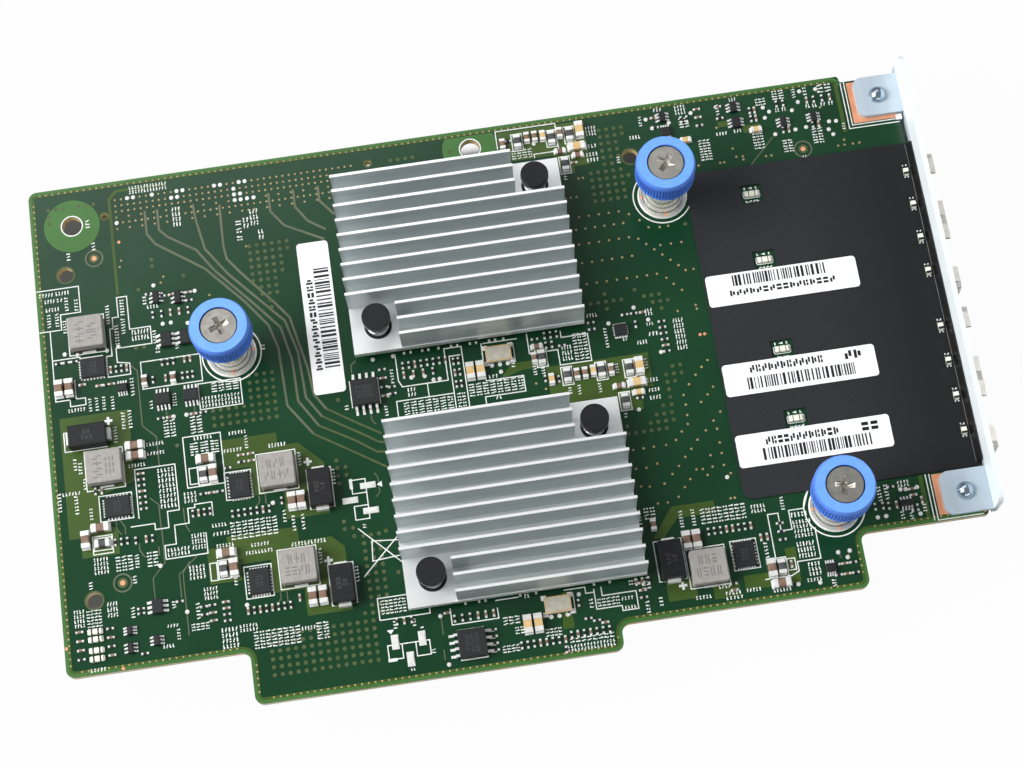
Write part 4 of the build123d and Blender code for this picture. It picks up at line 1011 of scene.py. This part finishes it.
def leads(box, count, reach, width, upright):
    """Bent leads down two sides of a chip: a short step off the body, then a foot on the board."""
    x0, y0, x1, y1, top = box
    low, high, flanks = (x0, x1, (y0, y1)) if upright else (y0, y1, (x0, x1))
    level = top * lead_level
    pitch = (high - low) / count
    for i in range(count):
        middle = low + (i + 0.5) * pitch
        for side, edge in zip((-1, 1), flanks):
            for start, end, bottom, height in (
                (-lead_root, reach * knee_far, level - lead_thick, level),
                (reach * knee_near, reach * knee_far, 0, level),
                (reach * knee_near, reach, 0, lead_foot),
            ):
                a, b = sorted((edge + side * start, edge + side * end))
                solder.lay(not upright, middle - width / 2, a, middle + width / 2, b, bottom, height)


def flat_pads(box, count, width, length):
    """Small pads round the four sides of a flat chip."""
    x0, y0, x1, y1, top = box
    pitches = count - 1 + 2 * corner_gap
    for i in range(count):
        x = x0 + (x1 - x0) * (i + corner_gap) / pitches
        y = y0 + (y1 - y0) * (i + corner_gap) / pitches
        for edge in (y0, y1):
            solder.block(x, edge, width, length, 0, flat_pad_high)
        for edge in (x0, x1):
            solder.block(edge, y, length, width, 0, flat_pad_high)


end_caps("large_capacitors", 0.27, 0.05, 0.35)
end_caps("small_capacitors", 0.25, 0.04, 0.3)
end_caps("ferrite_beads", 0.25, 0.05, 0.3)
bead_side, bead_end = 0.4, 0.55
for x0, y0, x1, y1, top in islands("ferrite_beads"):
    outline_box(x0 - bead_side, y0 - bead_end, x1 + bead_side, y1 + bead_end)
tan_spots = [
    (82.9, 58.3), (84.9, 58.3), (86.6, 7.3), (88.6, 7.3), (115.5, 54.4), (114.5, 51.1), (111.7, 105.7),
    (110.7, 102.1), (98.3, 54.3), (106.5, 54.8), (114.5, 49.1), (132.5, 100.1), (146.9, 100.2),
    (104.2, 105.6),
]
tan_near, tan_skin = 0.6, 0.02
for x0, y0, x1, y1, top in islands("large_capacitors") + islands("small_capacitors"):
    middle = Vector(((x0 + x1) / 2, (y0 + y1) / 2))
    if any((middle - Vector(spot)).length < tan_near for spot in tan_spots):
        tan_parts.box(x0 - tan_skin, y0 - tan_skin, x1 + tan_skin, y1 + tan_skin, 0, top + tan_skin)

# Leads of the small chips, by the size of their bodies, and of the two memory chips
for box in islands("logic_chips"):
    wide, deep = box[2] - box[0], box[3] - box[1]
    if wide > 2.6:
        leads(box, 4, 1.0, 0.34, True)
    elif deep > 2.7:
        leads(box, 3, 1.0, 0.5, False)
    elif wide > 1.9 and deep > 2.2:
        flat_pads(box, 4, 0.26, 0.4)
    elif wide > deep:
        leads(box, 4, 0.75, 0.28, True)
    else:
        leads(box, 3, 0.8, 0.34, False)
leads(islands("flash_chip_1")[0], 4, 1.6, 0.5, True)
leads(islands("flash_chip_2")[0], 4, 1.7, 0.5, False)

# Feet of the power stages, and a dark band on the front foot of each inductor, which is painted shade
inductor_pad, inductor_pad_high = (2.6, 0.7), 0.25
foot_shade_inset, foot_shade_skin, foot_shade_deep, foot_shade_low, foot_shade_high = 0.3, 0.02, 0.2, 0.2, 1.0
for number in range(1, 6):
    flat_pads(islands(f"regulator_chip_{number}")[0], 7, 0.3, 0.75)
    x0, y0, x1, y1, top = islands(f"power_inductor_{number}")[0]
    for edge in (y0, y1):
        solder.block((x0 + x1) / 2, edge, *inductor_pad, 0, inductor_pad_high)
    dark_parts.box(x0 + foot_shade_inset, y0 - foot_shade_skin, x1 - foot_shade_inset, y0 + foot_shade_deep, foot_shade_low, foot_shade_high)
polymer_plate, plate_share = (1.3, 2.4), 0.5
for number in range(1, 5):
    x0, y0, x1, y1, top = islands(f"polymer_capacitor_{number}")[0]
    if x1 - x0 > y1 - y0:
        ends = [(x, (y0 + y1) / 2, *polymer_plate) for x in (x0, x1)]
    else:
        ends = [((x0 + x1) / 2, y, *polymer_plate[::-1]) for y in (y0, y1)]
    for end in ends:
        solder.block(*end, 0, top * plate_share)

# Pads, drops and a printed line at each oscillator, and the tan frame round its lid
oscillator_pad, oscillator_pad_high = (1.0, 0.9), 0.3
drop_r, drop_high, drop_out, drop_first, drop_spread = 0.42, 0.2, 0.5, 0.6, 3.2
lid_inset, lid_line = 0.14, 0.2
for number in (1, 2):
    x0, y0, x1, y1, top = islands(f"oscillator_{number}")[0]
    for x in (x0, x1):
        for y in (y0, y1):
            solder.block(x, y, *oscillator_pad, 0, oscillator_pad_high)
    for i in range(3):
        drop_x = x0 + (x1 - x0) * (i + drop_first) / drop_spread
        solder.disc(drop_x, y0 - drop_out, drop_r, 0, drop_high)
    print_lines([(x1 + 0.6, y1 + 0.3), (x1 + 0.6, y0 - 0.4)])
    tan_parts.frame(
        x0 + lid_inset, y0 + lid_inset, x1 - lid_inset, y1 - lid_inset,
        lid_line, top - mark_sink, top + stamp_rise)

# Ends and shades of the lights; those in the sheet's windows, further right, also have print round them
windows_from = 100
light_end, light_end_out, light_end_share = (0.5, 0.9), 1.2, 0.6
light_shade_deep, light_shade_out, light_shade_share = 1.12, 0.62, 0.5
window_shade, status_shade = 0.14, 0.3
light_ring, light_line = [
    (-1.65, -0.5), (-1.4, -0.75), (1.4, -0.75), (1.65, -0.5),
    (1.65, 0.5), (1.4, 0.75), (-1.4, 0.75), (-1.65, 0.5),
], 0.14
for x0, y0, x1, y1, top in islands("board_lights"):
    x, y = (x0 + x1) / 2, (y0 + y1) / 2
    in_window = x > windows_from
    shade_wide = window_shade if in_window else status_shade
    for side in (-1, 1):
        solder.block(x + side * light_end_out, y, *light_end, 0, top * light_end_share)
        dark_parts.block(
            x + side * light_shade_out, y, shade_wide, light_shade_deep,
            top * light_shade_share, top + label_rise)
    if in_window:
        print_ink.stroke([(x + a, y + b) for a, b in light_ring], light_line, 0, ink_top, closed=True)
        words(x - 1.5, y - 1.8, x + 1.4, y - 1.05, 4, upright=True)
        word(x - 1.5, y + 1.1, x - 0.8, y + 1.6)
        word(x + 0.8, y + 1.1, x + 1.5, y + 1.6)
        print_ink.prism([(x - 0.5, y + 1.35), (x + 0.3, y + 1.1), (x + 0.3, y + 1.6)], 0, ink_top)
port_end, port_end_out, port_end_share = (0.6, 0.3), 0.05, 0.5
port_shade_deep, port_shade_in, port_shade_over, port_shade_share = 0.44, 0.24, 0.02, 0.4
port_drop_r, port_drop_out, port_drop_low, port_drop_high = 0.16, 0.42, 0.3, 0.4
for x0, y0, x1, y1, top in islands("port_lights"):
    x = (x0 + x1) / 2
    for edge, side in ((y0, -1), (y1, 1)):
        solder.block(x, edge + side * port_end_out, *port_end, 0, top * port_end_share)
        dark_parts.block(
            x, edge - side * port_shade_in, x1 - x0 + port_shade_over, port_shade_deep,
            top * port_shade_share, top + label_rise)
        for drop_x in (x0 + 0.1, x1 - 0.25):
            solder.disc(drop_x, edge + side * port_drop_out, port_drop_r, port_drop_low, port_drop_high, 8)

# Invented marks on the parts
stamp_leading = 1.3
grey_marks = Shape()
faint_marks = Shape()


def stamp(shape, name, counts, wide, tall, upright):
    """Rows of invented marks on top of a part, each given by its number of marks."""
    x0, y0, x1, y1, top = islands(name)[0]
    x, y = (x0 + x1) / 2, (y0 + y1) / 2
    u, v = (y, x) if upright else (x, y)
    for i, count in enumerate(counts):
        shift = (i - (len(counts) - 1) / 2) * tall * stamp_leading
        for k in range(count):
            start = (k - count / 2) * wide
            for a, b, c, d in chance.choice(stamp_bars):
                u0, u1 = start + a * wide, start + c * wide
                v0, v1 = shift + (b - 0.5) * tall, shift + (d - 0.5) * tall
                shape.lay(upright, u + u0, v + v0, u + u1, v + v1, top - mark_sink, top + stamp_rise)


for number, upright in ((1, True), (2, True), (3, False), (4, False), (5, False)):
    stamp(grey_marks, f"power_inductor_{number}", (4, 3), 1.25, 1.8, upright)
for number, upright in ((1, False), (2, True), (3, True), (4, True)):
    stamp(faint_marks, f"polymer_capacitor_{number}", (3, 2), 0.8, 0.9, upright)
for number, upright in ((1, False), (2, True)):
    stamp(faint_marks, f"flash_chip_{number}", (5, 6, 6), 0.62, 0.7, upright)
for number in range(1, 6):
    stamp(faint_marks, f"regulator_chip_{number}", (4, 4), 0.6, 0.6, True)
grey_marks.make("inductor_marks", stamp_and_highlight_grey)
faint_marks.make("package_marks", stamp_faint)

# The underside, which the photo doesn't show: via ends, small parts below the network chips, and contacts
under = -board_thick
under_margin, under_step = 1.5, 2.2
for x, y in fan:
    dots.disc(x, y, via_r, under - via_top, under, 8)
for name in ("upper_network_chip", "lower_network_chip"):
    x0, y0, x1, y1, top = islands(name)[0]
    print_ink.frame(
        x0 - under_margin, y0 - under_margin, x1 + under_margin, y1 + under_margin,
        ink_line, under - ink_top, under)
    for x, y in grid(x0, x1, y0, y1, under_step):
        for side in (-1, 1):
            solder.block(x + side * passive_reach, y, passive_pad, passive_pad, under - passive_tall, under)
        brown_parts.block(x, y, *passive_body, under - passive_tall + passive_dip, under)
tongue_floor, tongue_top = -13.7, -7.8
plug_ends, contact_thin = 4, 0.1
foot_out, foot_long, foot_thick = 0.3, 0.8, 0.12
for name, contact_pitch, contact_wide in (("host_connector", 0.8, 0.4), ("power_connector", 2.4, 1.5)):
    x0, y0, x1, y1, top = islands(name)[0]
    contacts = int((x1 - x0 - plug_ends) / contact_pitch)
    for i in range(contacts):
        x = (x0 + x1) / 2 + (i - (contacts - 1) / 2) * contact_pitch
        for side in (-1, 1):
            contact = (y0 + y1) / 2 + side * (y1 - y0) / 4
            dots.block(x, contact, contact_wide, contact_thin, tongue_floor, tongue_top)
            foot = (y0 + y1) / 2 + side * ((y1 - y0) / 2 + foot_out)
            solder.block(x, foot, contact_wide, foot_long, under - foot_thick, under)

areas.make("copper_areas", pour)
edges.make("board_rim", rim)
lines.make("board_traces", trace)
dots.make("open_vias", gold)
plugs.make("plugged_vias", plugged)
print_ink.make("board_print", ink)
bare_copper.make("bare_copper", copper)
solder.make("solder_and_leads", tin)
# Dark bodies of the tiny resistors and dark ends of the lights; they also hold the painted shade on the
# inductors' front feet
dark_parts.make("tiny_resistors_and_inductor_shade", epoxy)
brown_parts.make("tiny_capacitors", ceramic)
tan_parts.make("tan_capacitor_sleeves", tan)
step_shadows.make("ferrule_step_shadows", bead_and_shadow)

# Sloping floors of the driver cross in each screw head, from the tips down to the middle
cross_floor, cross_brim = 15.02, 16.12
cross_heart, cross_tip, cross_half, cross_flank = 0.55, 1.86, 0.5, 0.4
heart_low, heart_high, arm_start, arm_rise = 0.01, 0.08, 0.7, 0.06
head_rim, head_edge = (3.27, 3.4), (16.0, 16.21)
for side, turn in (("left", 20), ("upper", 53), ("lower", -12)):
    cross = Shape()
    x, y = screws[side]
    cross.disc(x, y, cross_heart, cross_floor - heart_low, cross_floor + heart_high, 16)
    for quarter in range(4):
        angle = math.radians(turn + 90 * quarter)
        along = Vector((math.cos(angle), math.sin(angle)))
        across = Vector((-math.sin(angle), math.cos(angle))) * cross_half / 2
        near = Vector((x, y)) + along * cross_heart * arm_start
        far = Vector((x, y)) + along * cross_tip
        for half in (-across, across):
            cross.gutter(near, far, half, cross_floor, cross_floor + arm_rise, cross_brim, cross_flank)
    cross.ring(x, y, *head_rim, *head_edge, 60)
    cross.make(f"{side}_cross_floor", recess, f"{side}_thumbscrew")

# Springs that shorten under the screw heads as the screws are pressed
coil_low, coil_high, coil_turns = -0.55, 14.35, 8
coil_r, wire_r = 1.95, 0.3
for side, (x, y) in screws.items():
    coil = Shape()
    coil.helix(x, y, coil_low + wire_r, coil_high - wire_r, coil_r, wire_r, coil_turns)
    piece = coil.make(f"{side}_spring_wire", spring, f"{side}_screw_lift")
    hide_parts(f"{side}_screw_spring")
    for polygon in piece.data.polygons:
        polygon.use_smooth = True
    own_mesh(piece)

# Dark rings under the push pins' springs: washers, which also paint the shadow round the foot of each coil
shade_washers = Shape()
heatsink_base = 1.5
shade_washer_inner, shade_washer_outer, shade_washer_thick = 2.1, 2.7, 0.2
pocket_floor = (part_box("upper_heatsink")[0].z - origin.z) / MM + heatsink_base
for x0, y0, x1, y1, top in islands("push_pin_springs"):
    x, y = (x0 + x1) / 2, (y0 + y1) / 2
    shade_washers.ring(x, y, shade_washer_inner, shade_washer_outer, pocket_floor, pocket_floor + shade_washer_thick)
shade_washers.make("pin_shade_washers", black)

# Edge of the sheet, folded up along the faceplate
fold_from, fold_to = 25.6, 92.3
lip = Shape()
lip.wedge([(175.75, 0.35), (176.5, 0.35), (176.72, 1.9), (176.5, 1.9)], fold_from, fold_to)
lip.make("sheet_fold", fold)
# Painted highlight: a thin grey line along the crease of the fold
fold_highlight = Shape()
fold_highlight.box(175.62, fold_from, 175.72, fold_to, 0.34, 0.37)
fold_highlight.make("sheet_fold_highlight", stamp_and_highlight_grey)

# Bars on the labels
bar_ink = Shape()
bar_widths = (0.18, 0.3, 0.3, 0.5)
bar_gaps = (0.2, 0.2, 0.35, 0.5)


def bar_row(x0, y0, x1, y1, top):
    """A row of printed bars of chance widths; it stands for no code."""
    upright = y1 - y0 > x1 - x0
    spot, end, low, high = (y0, y1, x0, x1) if upright else (x0, x1, y0, y1)
    while spot < end - max(bar_widths):
        wide = chance.choice(bar_widths)
        bar_ink.lay(upright, spot, low, spot + wide, high, top - mark_sink, top + label_rise)
        spot += wide + chance.choice(bar_gaps)


def bar_words(x0, y0, x1, y1, count, top):
    """Invented marks in the place of a line of words."""
    upright = y1 - y0 > x1 - x0
    start, end, foot, rise = (y0, y1, x1, x0 - x1) if upright else (x0, x1, y0, y1 - y0)
    pitch = (end - start) / count
    for i in range(count):
        for a, b, c, d in chance.choice(letter_bars):
            u0, u1 = start + (i + a) * pitch, start + (i + c) * pitch
            v0, v1 = sorted((foot + rise * b, foot + rise * d))
            bar_ink.lay(upright, u0, v0, u1, v1, top - mark_sink, top + label_rise)


for name, bars, word_rows in (
    ("upper_sheet_label", (136.4, 67.7, 155.0, 70.0), [(135.4, 65.7, 156.6, 66.9, 16)]),
    ("middle_sheet_label", (135.6, 46.3, 157.0, 48.7),
     [(136.4, 49.6, 151.0, 51.1, 12), (155.0, 49.5, 158.6, 51.2, 2)]),
    ("lower_sheet_label", (136.0, 31.9, 157.2, 34.3),
     [(136.8, 34.9, 151.2, 36.4, 12), (155.4, 34.8, 159.0, 36.5, 2)]),
    ("board_label", (55.0, 63.4, 58.0, 84.7), [(53.3, 63.0, 54.6, 82.4, 14)]),
):
    top = (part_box(name)[1].z - origin.z) / MM
    bar_row(*bars, top)
    for row in word_rows:
        bar_words(*row, top)
bar_ink.make("label_bars", black)

# Floor and light; inside these lines, given as where it starts and is full, the floor under the card is
# painted dark as its shadow and glows less, so that the real shadow shows too
shade_sides = [("X", -0.091, -0.088), ("X", 0.088, 0.082), ("Y", -0.036, -0.028), ("Y", 0.058, 0.055)]
white_share, shade_share = 0.97, 0.03


def studio_floor():
    """A wide pale floor that stays white to the camera and keeps a faint soft shadow; under the card it is
    painted near black as a shadow and glows less.
    """
    bpy.ops.mesh.primitive_plane_add(size=6.0, location=(0, 0, 0))
    floor = bpy.context.object
    floor.name = "floor"
    material = bpy.data.materials.new("floor")
    material.use_nodes = True
    tree = material.node_tree
    link = tree.links.new
    shader = preset(tree.nodes["Principled BSDF"], Roughness=0.9)
    # Painted shadow: the floor's colour turns near black inside the shade lines.
    dark = add(tree, "Mix")
    dark.data_type = "RGBA"
    preset(dark, A=(0.42, 0.43, 0.44, 1), B=(0.035, 0.033, 0.028, 1))
    glow = add(tree, "Emission", Strength=1.0)
    path = add(tree, "LightPath")
    place = add(tree, "TexCoord")
    parts = add(tree, "SeparateXYZ")
    link(place.outputs["Object"], parts.inputs["Vector"])
    inside = []
    for axis, low, high in shade_sides:
        side = add(tree, "MapRange", From_Min=low, From_Max=high)
        side.interpolation_type = "SMOOTHSTEP"
        link(parts.outputs[axis], side.inputs["Value"])
        inside.append(side.outputs["Result"])
    while len(inside) > 1:
        both = add(tree, "Math")
        both.operation = "MULTIPLY"
        link(inside.pop(), both.inputs[0])
        link(inside.pop(), both.inputs[1])
        inside.insert(0, both.outputs["Value"])
    share = add(tree, "MapRange", To_Min=white_share, To_Max=shade_share)
    seen = add(tree, "Math")
    seen.operation = "MULTIPLY"
    mix = add(tree, "MixShader")
    link(inside[0], share.inputs["Value"])
    link(inside[0], dark.inputs["Factor"])
    link(dark.outputs["Result"], shader.inputs["Base Color"])
    link(share.outputs["Result"], seen.inputs[0])
    link(path.outputs["Is Camera Ray"], seen.inputs[1])
    link(seen.outputs["Value"], mix.inputs["Fac"])
    link(shader.outputs["BSDF"], mix.inputs[1])
    link(glow.outputs["Emission"], mix.inputs[2])
    link(mix.outputs["Shader"], tree.nodes["Material Output"].inputs["Surface"])
    floor.data.materials.append(material)


def studio_world():
    """White to the camera; to everything else a soft tent, bright overhead and dim at the horizon."""
    world = bpy.data.worlds.new("studio")
    bpy.context.scene.world = world
    world.use_nodes = True
    tree = world.node_tree
    link = tree.links.new
    place = add(tree, "TexCoord")
    parts = add(tree, "SeparateXYZ")
    ramp = add(tree, "ValToRGB")
    for i, (position, colour) in enumerate(((0.0, (0.10, 0.11, 0.12, 1)), (0.95, (0.20, 0.21, 0.22, 1)))):
        ramp.color_ramp.elements[i].position = position
        ramp.color_ramp.elements[i].color = colour
    soft = preset(tree.nodes["Background"], Strength=1.0)
    plain = add(tree, "Background", Color=(1, 1, 1, 1))
    path = add(tree, "LightPath")
    mix = add(tree, "MixShader")
    link(place.outputs["Generated"], parts.inputs["Vector"])
    link(parts.outputs["Z"], ramp.inputs["Fac"])
    link(ramp.outputs["Color"], soft.inputs["Color"])
    link(path.outputs["Is Camera Ray"], mix.inputs["Fac"])
    link(soft.outputs["Background"], mix.inputs[1])
    link(plain.outputs["Background"], mix.inputs[2])
    link(mix.outputs["Shader"], tree.nodes["World Output"].inputs["Surface"])


def soft_box(name, place, aim, size, power):
    lamp = bpy.data.lights.new(name, "AREA")
    lamp.shape = "RECTANGLE"
    lamp.size, lamp.size_y = size
    lamp.energy = power
    holder = bpy.data.objects.new(name, lamp)
    bpy.context.scene.collection.objects.link(holder)
    holder.location = place
    holder.rotation_euler = (Vector(aim) - Vector(place)).to_track_quat("-Z", "Y").to_euler()


studio_floor()
studio_world()
soft_box("key", (-0.9, 0.05, 0.72), (0, 0, 0), (0.8, 0.8), 22.0)
soft_box("strip", (0.25, -0.95, 0.42), (0, 0, 0), (1.1, 0.1), 2.4)
soft_box("back", (-0.25, 0.74, 1.0), (0, 0, 0), (1.2, 0.55), 3.6)
soft_box("fill", (1.0, 0.05, 0.34), (0, 0, 0), (0.25, 0.9), 4.5)

# Camera, in card millimetres, with its turns about the card's axes
camera_place = (82.31, -69.02, 381.11)
camera_turns = (162.027, -1.176, -8.414)
camera_lens = 72.58
turn_x, turn_y, turn_z = (Matrix.Rotation(math.radians(a), 3, b) for a, b in zip(camera_turns, "XYZ"))
looking = turn_z @ turn_y @ turn_x
axes = Matrix((looking[0], -looking[1], -looking[2])).transposed()
camera = bpy.data.cameras.new("camera")
camera.lens = camera_lens
camera.clip_start = 0.01
holder = bpy.data.objects.new("camera", camera)
bpy.context.scene.collection.objects.link(holder)
holder.matrix_world = Matrix.Translation(card(*camera_place)) @ axes.to_4x4()
bpy.context.scene.camera = holder
bpy.context.scene.view_settings.view_transform = "Standard"
